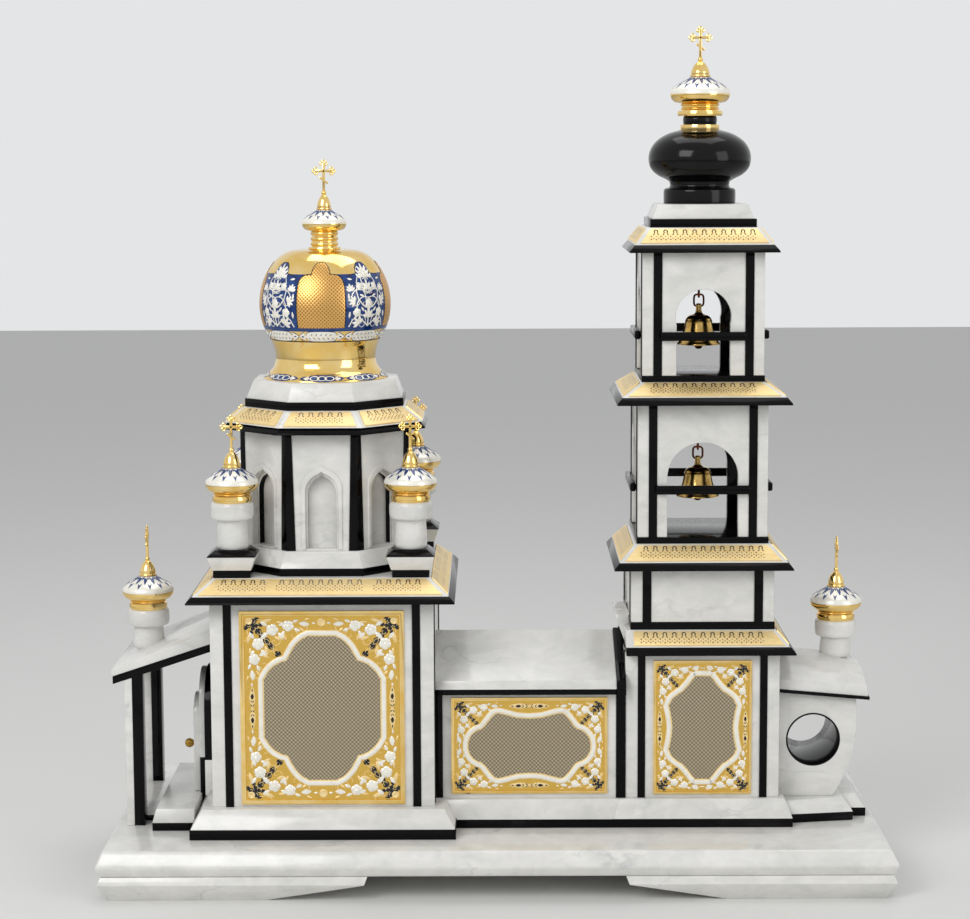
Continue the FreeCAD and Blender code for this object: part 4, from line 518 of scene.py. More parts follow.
def worn_metal(name, bright, dull, roughness, scale):
    """Handled metal: bright where it rubs and dull between, in spots of a few millimetres."""
    finish, tree, surface, where = new_finish(name, bright, 1.0, roughness)
    stain = add_node(tree, "TexNoise", {"Vector": where, "Scale": scale, "Detail": 5.0, "Roughness": 0.6})
    tone = stops(add_node(tree, "ValToRGB", {"Fac": stain}), (0.35, dull), (0.62, bright))
    polish = add_node(tree, "MapRange",
                      {"Value": stain, "From Min": 0.3, "From Max": 0.7, "To Min": roughness * 1.9,
                       "To Max": roughness * 0.8})
    connect(tree, surface, {"Base Color": tone, "Roughness": polish})
    return finish


marble_base = white_marble("polished white marble of the base", (0.0, radians(4), radians(8)),
                           (0.31, 0.12, 0.4))
marble_walls = white_marble("polished white marble of the walls", (radians(70), radians(20), 0.0),
                            (0.7, 0.45, 0.2), "B2B3B4")
marble_roofs = white_marble("polished white marble of the roofs", (radians(25), radians(64), radians(30)),
                            (0.15, 0.9, 0.66))
marble_tower = white_marble("polished white marble of the tower", (radians(35), radians(80), radians(50)),
                            (1.3, 0.2, 0.87), "A9ABAE")
gabbro = black_stone("polished black gabbro", 0.12)
turned_gabbro = black_stone("turned and polished black gabbro", 0.22)
gold = polished_gold()
gold_ground = matt_gold()
gold_sheet = satin_gold()
gold_weave = woven_gold()
silver_field = lattice_silver()
silver = frosted_silver()
blue = hot_enamel("blue hot enamel", "0C2A62", "144488")
niello = hot_enamel("black niello", "0B0A0C", "17151A")
etch = hot_enamel("brown etched line", "6A4A20", "86602C")
bell_brass = worn_metal("bell brass", "DDBB72", "A78343", 0.16, 90.0)
hinge_brass = worn_metal("hinge brass", "D2A44C", "93702C", 0.22, 200.0)
copper = worn_metal("drawn copper wire", "B5603A", "74351F", 0.24, 300.0)
steel = worn_metal("zinc-plated steel rod", "B9BCC0", "8C9094", 0.28, 250.0)


# Stone

for name in ("base_slab", "base_feet"):
    arrised(name, 1.6, marble_base, 3)
for name in ("nave_plinth", "refectory_plinth", "tower_plinth", "apse_plinth", "porch_steps"):
    arrised(name, 0.5, marble_base)
for name in ("nave_walls", "refectory_walls", "door_leaf", "porch_posts", "portal_marble"):
    arrised(name, 0.5, marble_walls, 2, "door" if name == "door_leaf" else "root")
for name in ("drum_plinth", "drum_walls", "dome_seat", "drum_roof", "nave_roof", "refectory_roof",
             "porch_roof", "turret_pedestals"):
    arrised(name, 0.5, marble_roofs)
for name in ("tower_stage_1", "tower_stage_2", "lower_belfry", "upper_belfry", "tower_roofs", "tower_cap",
             "keel_gable", "apse_walls", "apse_roof"):
    arrised(name, 0.6, marble_tower)


# Strips on the drum's corners: where they are, their inner edges from a side's middle, and their trim

DRUM_FOOT = 268
DRUM_TOP = 366
DRUM_REACH = 76
STRIP_EDGE = 21.07
STRIP_TRIM = 2.2


def slimmer(bm):
    """Narrows the strips on the corners of the drum to the width that they show."""
    for vert in bm.verts:
        x, y, z = vert.co.x - NAVE_X, vert.co.y, vert.co.z
        if DRUM_FOOT < z < DRUM_TOP and hypot(x, y) < DRUM_REACH:
            turn = round(atan2(y, x) / (pi / 4)) * pi / 4
            way = Vector((-sin(turn), cos(turn), 0))
            off = way.x * x + way.y * y
            if abs(abs(off) - STRIP_EDGE) < 0.5:
                vert.co += way * (STRIP_TRIM if off > 0 else -STRIP_TRIM)


for name, width in (("foot_strips", 0.4), ("nave_eave", 0.35), ("drum_eave", 0.35), ("tower_eaves", 0.35),
                    ("wing_eaves", 0.3), ("black_bands", 0.35), ("refectory_end_plates", 0.4),
                    ("portal_black", 0.4), ("belfry_rails", 0.5)):
    arrised(name, width, gabbro)
arrised("corner_strips", 0.15, gabbro, reshape=slimmer)

# The linings of the drum's niches show marble on the faces that look outwards

LINING_REACH = 80 * MM
linings = arrised("black_linings", 0.2, gabbro)
linings.data.materials.append(marble_roofs)
for face in linings.data.polygons:
    out = Vector((face.center.x - NAVE_X * MM, face.center.y, 0))
    if out.length < LINING_REACH and face.normal.dot(out.normalized()) > 0.7:
        face.material_index = 1


# Turned stone: turret shafts and the tower dome

def shaft_line(height):
    """Plain shaft under a rounded collar."""
    top = height + COLLAR_HEIGHT
    shaft = [(0, 0), (12.0, 0), (12.0, height - 0.6)]
    collar = [(14.6, height), (16.2, height + 1.0), (16.9, height + 3.4), (17.0, height + 7.0),
              (16.9, height + 10.8), (16.2, top - 1.0), (14.7, top)]
    return side_line(shaft, [shaft[-1], collar[0]], collar, [collar[-1], (0, top)])


# Each turret's place and the foot of its collar, and the heights of their shafts

TURRETS = [(NAVE_X + TURRET_SPREAD * sx, TURRET_SPREAD * sy, 291.0) for sx in (-1, 1) for sy in (-1, 1)]
TURRETS += [(PORCH_TURRET_X, 0.0, 193.0), (APSE_TURRET_X, 0.0, 182.0)]
SHAFT_HEIGHTS = [23.0] * 4 + [18.0, 16.0]

shafts = bmesh.new()
for (x, y, collar), height in zip(TURRETS, SHAFT_HEIGHTS):
    stamped(shafts, turned(shaft_line(height)), round_place(x, y, collar - height))
piece("turret_shafts_turned", shafts, [marble_walls], nodes=["turret_shafts"])

tower_dome = turned(side_line(
    [(0, 0), (28.2, 0)],
    [(28.2, 0), (28.8, 1.2), (28.8, 9.6), (28.0, 11.6), (26.4, 12.4)],
    [(26.4, 12.4), (24.6, 12.5)],
    [(24.6, 12.5), (23.7, 14.6), (24.2, 17.4)],
    [(24.2, 17.4), (27.4, 19.4), (34.2, 22.9), (39.3, 28.2), (41.1, 35.2), (39.6, 43.0), (34.6, 50.0),
     (26.0, 55.4), (15.9, 58.5)],
    [(12.7, 58.5), (12.7, 69.5), (0, 69.5)]), 96)
piece("tower_dome_turned", placed(tower_dome, round_place(TOWER_X, 0, TOWER_DOME_FOOT)), [turned_gabbro],
      nodes=["tower_dome"])


# Gilt turned work: dome, finials and onions

def ring_and_neck(ring, ring_height, neck, neck_height, bands):
    """Side line of a flange with rolled neck bands on it."""
    runs = [[(0, 0), (ring - 0.5, 0)],
            [(ring - 0.5, 0), (ring, ring_height * 0.4), (ring - 0.4, ring_height)]]
    for k in range(bands):
        foot = ring_height + neck_height * k / bands
        top = ring_height + neck_height * (k + 1) / bands
        runs += [[(neck - 1.3, foot), (neck - 1.3, foot + 0.6)],
                 [(neck - 1.0, foot + 0.6), (neck, (foot + 0.6 + top) / 2), (neck - 1.0, top)]]
    return runs


def onion_runs(radius, foot, height, cone):
    """Low onion with a hollow upper slope, and the pointed bud on it."""
    tip = radius * 0.31
    top = foot + height
    belly_shares = ((0.64, 0), (0.86, 0.06), (0.98, 0.22), (1, 0.38), (0.94, 0.54), (0.78, 0.69),
                    (0.57, 0.82), (0.39, 0.93))
    bud_shares = ((0.99, 0.3), (0.72, 0.66), (0.34, 0.9), (0, 1))
    belly = [(radius * wide, foot + height * up) for wide, up in belly_shares] + [(tip, top)]
    rim = [(tip, top), (tip * 1.12, top + 0.4), (tip * 1.1, top + 1.3), (tip * 0.98, top + 1.6)]
    return [belly, rim, rim[-1:] + [(tip * wide, top + cone * up) for wide, up in bud_shares]]


def finial(ring, ring_height, neck, neck_height, bands, radius, height, cone, flutes):
    """Finial with its enamelled onion: gold below, white above, with blue drops pointing down."""
    foot = ring_height + neck_height
    onion = onion_runs(radius, foot, height, cone)
    bm = turned(side_line(*ring_and_neck(ring, ring_height, neck, neck_height, bands), *onion))
    belly = foot + height * 0.36
    for face in bm.faces:
        middle = face.calc_center_median()
        if belly < middle.z < foot + height - 0.2:
            face.material_index = 1
    slope = smooth_line(onion[0])
    lengths = [(b - a).length for a, b in zip(slope, slope[1:])]
    start = sum(n for n, p in zip(lengths, slope[1:]) if p[1] <= belly)
    rise = sum(lengths) - start
    pitch = 2 * pi * radius / flutes
    petals = bmesh.new()
    for low, high, wide, shift in ((0.2, 0.52, 0.2, 0.5), (0.46, 0.96, 0.4, 0.0), (0.74, 0.98, 0.2, 0.5)):
        half = pitch * wide
        right = [(half * 0.7, rise * (low * 0.35 + high * 0.65)), (half, rise * high)]
        left = [(-x, z) for x, z in reversed(right)]
        drop = [(0, rise * low)] + right + [(0, rise * (high - 0.1))] + left
        bent = bent_round(cut_sheet(drop, 0.16), slope, start, radius)
        for k in range(flutes):
            stamped(petals, bent, Matrix.Rotation(2 * pi * (k + shift) / flutes, 4, "Z"), 2)
    return stamped(bm, petals)


onions = bmesh.new()
turret_finial = finial(ring=15.5, ring_height=4.5, neck=14.9, neck_height=3.0, bands=1,
                       radius=20.9, height=19.5, cone=13.0, flutes=12)
for k, (x, y, collar) in enumerate(TURRETS):
    stamped(onions, turret_finial, round_place(x, y, collar + COLLAR_HEIGHT, 7 * k))
piece("turret_onions_turned", onions, [gold, silver, blue], nodes=["turret_onions"])

finials = bmesh.new()
dome_finial = finial(ring=13.1, ring_height=2.0, neck=11.3, neck_height=13.0, bands=3,
                     radius=17.8, height=16.8, cone=12.8, flutes=12)
tower_finial = finial(ring=18.1, ring_height=4.0, neck=15.6, neck_height=6.0, bands=2,
                      radius=23.9, height=21.0, cone=13.0, flutes=14)
tower_ring = turned(side_line([(12.7, 0), (15.3, 0)], [(15.3, 0), (15.7, 2.0), (15.3, 4.0)],
                              [(15.3, 4.0), (12.7, 4.0), (12.7, 0)]))
stamped(finials, dome_finial, round_place(NAVE_X, 0, BULB_CROWN))
stamped(finials, tower_finial, round_place(TOWER_X, 0, TOWER_FINIAL_FOOT))
stamped(finials, tower_ring, round_place(TOWER_X, 0, TOWER_RING_FOOT))
piece("finials_turned", finials, [gold, silver, blue], nodes=["finials"])

skirt_side = side_line(
    [(47.1, 0), (50.3, 0), (50.3, 0.8)],
    [(50.3, 0.8), (46.0, 4.6), (42.0, 9.4), (40.4, 15.5), (40.9, 21.5), (42.3, 27.0), (44.3, 31.5)],
    steps=8)
skirt_inside = [Vector((42.7, 31.5)), Vector((38.8, 15.5)), Vector((47.1, 0))]
skirt = turned(skirt_side + skirt_inside, 128)
piece("dome_skirt_turned", placed(skirt, round_place(NAVE_X, 0, SKIRT_FOOT)), [gold], nodes=["dome_skirt"])

# The bulb's ball: its centre over the foot, the angle at the foot, and the length along it of one degree

BALL_RADIUS = 52.7
BALL_CENTRE = 28.54
BALL_START = -32.8
BALL_DEGREE = 0.9198

bulb_side = [Vector((44.3, 0))] + arc(0, BALL_CENTRE, BALL_RADIUS, range(-32, 41, 3))
bulb_side += arc(20.22, 45.5, 26.3, range(44, 91, 3)) + [Vector((3.3, 71.8))]
bulb_inside = [Vector(p) for p in ((3.3, 70.2), (20, 70.2), (42, 52), (51, 28), (42.7, 0))]
bulb = turned(bulb_side + bulb_inside, 144)
piece("dome_bulb_turned", placed(bulb, round_place(NAVE_X, 0, BULB_FOOT)), [gold], nodes=["dome_bulb"])


# Dome ornament, cut flat and bent round the dome

# Lengths along the bulb's side line

FIELD_FOOT = 12.9
FIELD_TOP = 56.5
SHIELD_LEVEL = 5.4

# The skirt's radius where its plates are, and their length along its side line

SKIRT_REACH = 46.0
PLATE_LEVEL = 7.4


def dome_zone(low, high, lift):
    """Thin shell over the ball of the dome, between two lengths along its side line."""
    shell = []
    for radius, order in ((BALL_RADIUS + lift, 1), (BALL_RADIUS - 0.4, -1)):
        lengths = [low + (high - low) * k / 24 for k in range(25)][::order]
        shell += arc(0, BALL_CENTRE, radius, [length / BALL_DEGREE + BALL_START for length in lengths])
    return placed(turned(shell + shell[:1], 144), round_place(NAVE_X, 0, BULB_FOOT))


def ogee(half, foot, shoulder, top, lobe):
    """Trefoil-headed outline: rounded shoulders and a smaller lobe over them."""
    spring = (half, shoulder - half * 0.42)
    notch = (lobe, shoulder + 0.6)
    right = [(half, foot), spring]
    right += curved([spring, (half * 0.9, shoulder - half * 0.12), (half * 0.68, shoulder), notch], 4)
    waist = (lobe * 0.86, shoulder + (top - shoulder) * 0.55)
    right += curved([notch, waist, (lobe * 0.45, top - 0.5), (0, top)], 4)
    return right + [(-x, z) for x, z in reversed(right[:-1])]


def dome_pieces(motif, turns, start=0.0, line=bulb_side, reach=BALL_RADIUS, foot=BULB_FOOT):
    """Flat motif bent round the dome at several turns."""
    bent = bent_round(motif.copy(), line, start, reach)
    whole = bmesh.new()
    for turn in turns:
        stamped(whole, bent, round_place(NAVE_X, 0, foot, turn))
    return whole


piece("dome_enamel_zone", dome_zone(FIELD_FOOT, FIELD_TOP, 0.12), [blue])
outlined = cut_sheet(ogee(20.2, FIELD_FOOT, 56.4, 67.6, 8.9), 0.2)
piece("dome_panel_lines", dome_pieces(outlined, EIGHT), [niello])
woven = cut_sheet(ogee(19.5, FIELD_FOOT, 55.6, 66.9, 8.2), 0.34, 0.1)
piece("dome_woven_panels", dome_pieces(woven, QUARTERS), [gold_weave])
field = cut_sheet(ogee(20.6, FIELD_FOOT, 55.6, 66.9, 8.2), 0.26)
piece("dome_enamel_fields", dome_pieces(field, CORNERS), [blue])


def fan(petals, length, width, spread):
    """Palmette: pointed leaves spread about an upright one."""
    bm = bmesh.new()
    for k in range(petals):
        share = 2 * k / (petals - 1) - 1
        stamped(bm, petal(length * (1 - 0.28 * abs(share)), width, 0.35), at(turn=90 + spread * share))
    return stamped(bm, petal(length * 0.3, width, 0.5), at(turn=90))


def foliage():
    """Stem with paired scrolls, palmettes and blossoms, filling one enamel field and the crown over it."""
    bm = bmesh.new()
    stamped(bm, tendril([(90, 14), (90, -14)], 1.6, 1.0, 0.4), at(0, -21, 90))
    stamped(bm, fan(7, 12.5, 3.4, 85), at(0, 19.5))
    stamped(bm, fan(5, 8.0, 2.8, 75), at(0, 8.5))
    stamped(bm, fan(5, 8.5, 3.0, 70), at(0, -13.5))
    stamped(bm, blossom(4.0, 0.7), at(0, -2.5))
    for side in (across(1), across(-1)):
        for x, z, turn, arcs, thick in (
                (0.5, -20, 20, [(17, 62), (8, 120), (4.2, 200), (2.0, 120)], 1.6),
                (0.5, -6, 10, [(13, 80), (6.5, 150), (3.2, 220)], 1.5),
                (0.5, 6, 40, [(12, -50), (7, -120), (3.2, -200)], 1.4),
                (9, 9, 60, [(9, 70), (5, 150), (2.4, 150)], 1.3),
                (18, -21, 100, [(12, 60), (5.5, 150), (2.6, 160)], 1.3),
                (3, 17, 150, [(6, -120), (3, -160)], 1.2)):
            stamped(bm, tendril(arcs, thick, 0.6, 0.4), side @ at(x, z, turn))
        for x, z, turn, long, wide, spread in (
                (9.0, -19.0, -40, 8.0, 2.8, 75), (13.0, -1.0, -75, 7.0, 2.6, 70),
                (16.0, 7.5, -10, 6.5, 2.6, 60)):
            stamped(bm, fan(5, long, wide, spread), side @ at(x, z, turn))
        stamped(bm, blossom(3.8, 0.7), side @ at(11.5, -9.5))
        stamped(bm, blossom(3.2, 0.7), side @ at(8.0, 11.5))
        for x, z, turn, long, wide in (
                (18.0, 0.0, 85, 6.0, 2.2), (18.2, -14.0, 95, 5.5, 2.2), (4.5, -9.0, 50, 5.0, 2.0),
                (13.5, 17.0, 10, 5.0, 2.0), (4.0, 3.0, 20, 5.0, 2.0), (6.0, 17.5, 60, 5.5, 2.2)):
            stamped(bm, petal(long, wide, 0.35), side @ at(x, z, turn))
    return bm


raised_foliage = placed(foliage(), at(y=-0.2))
piece("dome_foliage", dome_pieces(raised_foliage, CORNERS, (FIELD_FOOT + FIELD_TOP) / 2), [silver])


def four_way(corner):
    """Closed outline from one quarter, given from its tip on the right up to the top."""
    upper = corner + [(-x, z) for x, z in reversed(corner) if x > 0.01]
    return upper + [(x, -z) for x, z in reversed(upper) if abs(z) > 0.01]


shield = [(20.4, 0), (18.6, 1.8), (15.6, 3.4), (14.6, 3.4), (15.2, 1.3), (13.4, 1.1), (12.8, 2.6),
          (11.2, 3.9), (6.0, 4.3), (0, 4.4)]
shield_edge = cut_sheet(four_way([(x * 1.022, z * 1.14) for x, z in shield]), 0.14)
shield_face = cut_sheet(four_way(shield), 0.28, 0.08)
shield_marks = bmesh.new()
for k in range(-5, 6):
    stamped(shield_marks, petal(2.5, 0.8, 0.2), at(2.1 * k - 1.1, 0.9 * (-1) ** k, 45 * (-1) ** k, y=-0.26))
for sign in (1, -1):
    stamped(shield_marks, petal(2.6, 1.5, 0.2), across(sign) @ at(15.6, 0, y=-0.26))
piece("dome_shield_edges", dome_pieces(shield_edge, EIGHT, SHIELD_LEVEL), [blue])
piece("dome_shields", dome_pieces(shield_face, EIGHT, SHIELD_LEVEL), [silver])
piece("dome_shield_marks", dome_pieces(shield_marks, EIGHT, SHIELD_LEVEL), [blue])
piece("dome_broad_line", dome_zone(10.1, FIELD_FOOT, 0.4), [blue])
piece("dome_thin_line", dome_zone(0.1, 0.9, 0.3), [niello])


def knot(length, height, thick):
    """Interlaced knot: three crossing loops between two arrow heads."""
    bm = bmesh.new()
    loop = ring_of_wire(height * 0.5, thick, 5, 18)
    bmesh.ops.scale(loop, vec=(1.45, 0.5, 1), verts=loop.verts)
    for x in (-0.2, 0.0, 0.2):
        stamped(bm, loop, at(x * length, 0))
    for side in (across(1), across(-1)):
        stamped(bm, petal(length * 0.14, height * 0.6, thick * 0.4), side @ at(length * 0.37, 0))
        for turn in (40, -40):
            stamped(bm, petal(length * 0.12, height * 0.28, thick * 0.4), side @ at(length * 0.34, 0, turn))
    return bm


oval = [(17.2, 0), (14.8, 1.8), (12.2, 2.2), (11.0, 1.7), (9.2, 2.9), (5.0, 3.6), (0, 3.7)]
skirt_plate = cut_sheet(four_way(oval), 0.14)
skirt_knot = placed(knot(29, 4.6, 0.75), at(y=-0.15))
for name, motif, finish in (("skirt_plates", skirt_plate, blue), ("skirt_knots", skirt_knot, silver)):
    piece(name, dome_pieces(motif, EIGHT, PLATE_LEVEL, skirt_side, SKIRT_REACH, SKIRT_FOOT), [finish])


# Crosses with ringed ends and a slanted lower bar

def flat_bar(size, edge):
    """Bar with eased edges about the origin."""
    bm = bmesh.new()
    bmesh.ops.create_cube(bm, size=1.0)
    bmesh.ops.scale(bm, vec=size, verts=bm.verts)
    bmesh.ops.bevel(bm, geom=bm.edges, offset=edge, affect="EDGES", segments=2, profile=0.5, material=-1)
    return bm


def cross_shape(height, span):
    """Cross in the XZ plane: flat bars with three small rings at each free end."""
    bm = bmesh.new()
    arms = height * 0.66
    top = height - 3.5
    reach = span / 2 - 3.5
    stamped(bm, flat_bar((2.1, 2.2, top + 0.6), 0.4), Matrix.Translation((0, 0, (top + 0.6) / 2)))
    stamped(bm, flat_bar((2 * reach + 1.2, 2.2, 2.1), 0.4), Matrix.Translation((0, 0, arms)))
    slant = Matrix.Translation((0, 0, arms - height * 0.27)) @ Matrix.Rotation(radians(38), 4, "Y")
    stamped(bm, flat_bar((span * 0.44, 2.0, 1.7), 0.35), slant)
    ring = ring_of_wire(1.15, 1.24, 7, 16)
    for x, z, out_x, out_z in ((0, top, 0, 1), (reach, arms, 1, 0), (-reach, arms, -1, 0)):
        for side_x, side_z in ((out_x, out_z), (out_z, out_x), (-out_z, -out_x)):
            stamped(bm, ring, Matrix.Translation((x + side_x * 1.75, 0, z + side_z * 1.75)))
    bead = turned(side_line([(0, -1.9), (1.4, -1.4), (2.0, 0), (1.4, 1.4), (0, 1.9)], steps=4), 20)
    return stamped(bm, bead, Matrix.Translation((0, 0, 0.7)))


crosses = bmesh.new()
small_cross = cross_shape(28.5, 18.4)
for x, y, collar in TURRETS:
    stamped(crosses, small_cross, round_place(x, y, collar + TURRET_CROSS, 0 if y else 90))
stamped(crosses, cross_shape(27.4, 19.5), round_place(NAVE_X, 0, BULB_CROWN + DOME_CROSS))
stamped(crosses, cross_shape(27.1, 19.2), round_place(TOWER_X, 0, TOWER_CROSS))
piece("crosses_cast", crosses, [gold], nodes=["crosses"])


# Gilt roof sheets with engraved rows

def sheet_marks():
    """Marks of the engraved rows: a dark arch on two feet, and a drop."""
    arch = bmesh.new()
    start = [arch.verts.new((1.0, 0, 0)), arch.verts.new((1.85, 0, 0))]
    edge = arch.edges.new(start)
    bmesh.ops.rotate(arch, cent=(0, 0, 0), matrix=Matrix.Rotation(radians(50), 3, "Y"), verts=start)
    bmesh.ops.spin(arch, geom=start + [edge], cent=(0, 0, 0), axis=(0, -1, 0), angle=radians(280), steps=10)
    for sign in (1, -1):
        foot = ((0.55, -0.85), (1.0, -1.6), (2.1, -2.1), (1.3, -1.0))
        arch.faces.new([arch.verts.new((sign * x, 0, z)) for x, z in foot])
    for face in arch.faces:
        face.normal_update()
        if face.normal.y > 0:
            face.normal_flip()
    drop = bmesh.new()
    bmesh.ops.create_circle(drop, cap_ends=True, segments=6, radius=0.5,
                            matrix=Matrix.Rotation(pi / 2, 4, "X"))
    return arch, drop


arch_mark, dot_mark = sheet_marks()
plates, arches, dots = bmesh.new(), bmesh.new(), bmesh.new()

# A sheet's bare margins up the slope and at the hips. Its marks: their pitch, their reach to a side, the
# arch's depth from the top, their end above the foot, their level, and how far a gap keeps them off

SHEET_MARGIN = 1.6
HIP_MARGIN = 3.8
MARK_PITCH = 7.6
MARK_REACH = 3.4
ARCH_DEPTH = 2.9
DROP_END = 2.0
MARK_LEVEL = -GILT_THICKNESS - 0.03
GAP_REACH = 5.0

# Drops of one repeat: across, down from the sheet's top, turn, size and stretch

DROPS = ((-1.7, 5.7, 48, 1.1, 2.0), (1.7, 5.7, -48, 1.1, 2.0),
         (-3.8, 7.6, 90, 1.3, 1.2), (0, 7.9, 90, 0.9, 1.2),
         (-2.0, 9.4, 0, 0.9, 1.6), (2.0, 9.4, 0, 0.9, 1.6),
         (-3.8, 10.6, 90, 1.2, 1.3), (0, 10.8, 90, 1.3, 1.2),
         (-2.0, 12.3, 40, 0.9, 1.7), (2.0, 12.3, -40, 0.9, 1.7))


def engraved_row(place, slope, spots):
    """Repeats of the engraved row at several places across one sheet."""
    for x in spots:
        stamped(arches, arch_mark, place @ at(x, slope - ARCH_DEPTH, y=MARK_LEVEL))
        for dx, down, turn, size, long in DROPS:
            if slope - down > DROP_END:
                spot = at(x + dx, slope - down, turn, size, MARK_LEVEL) @ across(long)
                stamped(dots, dot_mark, place @ spot)


def gilt_plate(place, lower_half, upper_half, slope, gaps):
    """One roof sheet, laid on its slope, with its engraved row."""
    sheet = cut_sheet([(-lower_half, 0), (lower_half, 0), (upper_half, slope), (-upper_half, slope)],
                      GILT_THICKNESS, 0.2)
    stamped(plates, sheet, place)
    count = int((upper_half - MARK_REACH) / MARK_PITCH)
    spots = [MARK_PITCH * k for k in range(-count, count + 1)]
    engraved_row(place, slope, [x for x in spots if not any(abs(abs(x) - gap) < GAP_REACH for gap in gaps)])


def sheet_place(x, turn, reach, eave, lean):
    """Place of a sheet that lies on its slope, a margin up from the eave."""
    return (Matrix.Translation((x, 0, 0)) @ Matrix.Rotation(radians(turn), 4, "Z")
            @ Matrix.Translation((0, -reach, eave)) @ Matrix.Rotation(-lean, 4, "X")
            @ Matrix.Translation((0, 0, SHEET_MARGIN)))


def roof_sheets(x, sides, z0, width_0, z1, width_1, turns, gaps):
    """Sheets on the slopes of one roof, from its eave up to its top."""
    run = (width_0 - width_1) / 2
    slope = hypot(z1 - z0, run)
    lean = atan2(run, z1 - z0)
    halves = []
    for share in (SHEET_MARGIN / slope, 1 - SHEET_MARGIN / slope):
        halves.append((width_0 + (width_1 - width_0) * share) * tan(pi / sides) / 2 - HIP_MARGIN)
    for turn in turns:
        place = sheet_place(x, turn, width_0 / 2, z0, lean)
        gilt_plate(place, halves[0], halves[1], slope - 2 * SHEET_MARGIN, gaps)


def long_sheets():
    """Front and back sheets of the tower's lowest roof, cut square on the left, where the low wing joins."""
    rise, run, eave_half, top_half, left = 12.3, 11.0, 69.0, 58.0, 55.1
    hip, drawn_in = 3.2, 1.07
    slope = hypot(rise, run)
    height = slope - 2 * SHEET_MARGIN
    low, high = eave_half - drawn_in - hip, top_half + drawn_in - hip
    for turn, sign in ((0, 1), (180, -1)):
        place = sheet_place(TOWER_X, turn, eave_half, 185.9, atan2(run, rise))
        flat = [(-left * sign, 0), (low * sign, 0), (high * sign, height), (-left * sign, height)]
        stamped(plates, cut_sheet(flat[::sign], GILT_THICKNESS, 0.2), place)
        engraved_row(place, height, [MARK_PITCH * k for k in range(-6, 7)])


# Each roof: its middle, its sides, height and width at the eave and at the top, turns, and gaps in the marks

ROOFS = (
    (NAVE_X, 4, 233.5, 201.0, 246.0, 170.0, QUARTERS, (38.0,)),
    (NAVE_X, 8, 363.5, 159.0, 375.5, 128.0, range(0, 360, 45), ()),
    (TOWER_X, 4, 253.6, 134.0, 266.9, 108.0, QUARTERS, ()),
    (TOWER_X, 4, 384.8, 130.0, 395.8, 97.0, QUARTERS, ()),
    (TOWER_X, 4, 504.0, 110.0, 517.5, 89.0, QUARTERS, ()),
    (TOWER_X, 4, 185.9, 138.0, 198.2, 116.0, (90,), ()),
)
for roof in ROOFS:
    roof_sheets(*roof)
long_sheets()
piece("roof_sheets", plates, [gold_sheet], nodes=["roof_plates"])
piece("roof_sheet_arches", arches, [niello])
piece("roof_sheet_dots", dots, [etch])


# Ornament panels of the walls

def mirrored_round(quarter):
    """Closed outline from the points of its upper right quarter, given from the top down to the right."""
    half = quarter + [(x, -z) for x, z in reversed(quarter) if z > 0.01]
    return half + [(-x, z) for x, z in reversed(half) if x > 0.01]


def grown(points, amount):
    """Outline moved outwards by an amount."""
    made = []
    for before, here, after in zip(points[-1:] + points[:-1], points, points[1:] + points[:1]):
        run = (Vector(after) - Vector(before)).normalized()
        made.append((here[0] - run[1] * amount, here[1] + run[0] * amount))
    return made


# What one panel is made of, kept apart by finish while it is flat, and the levels of its ground and relief

PANEL_PARTS = ("plate", "ground", "silver", "niello", "field")
GROUND_LEVEL = -1.1
RELIEF_LEVEL = -1.15

# A corner's knot starts this far in from both edges; its strands: thickness, end thickness and flatness

KNOT_START = 10
STRAND = (0.7, 0.6, 0.9)

# Turns a corner's spray over its diagonal

SWAP = Matrix(((0, 0, 1, 0), (0, 1, 0, 0), (1, 0, 0, 0), (0, 0, 0, 1)))


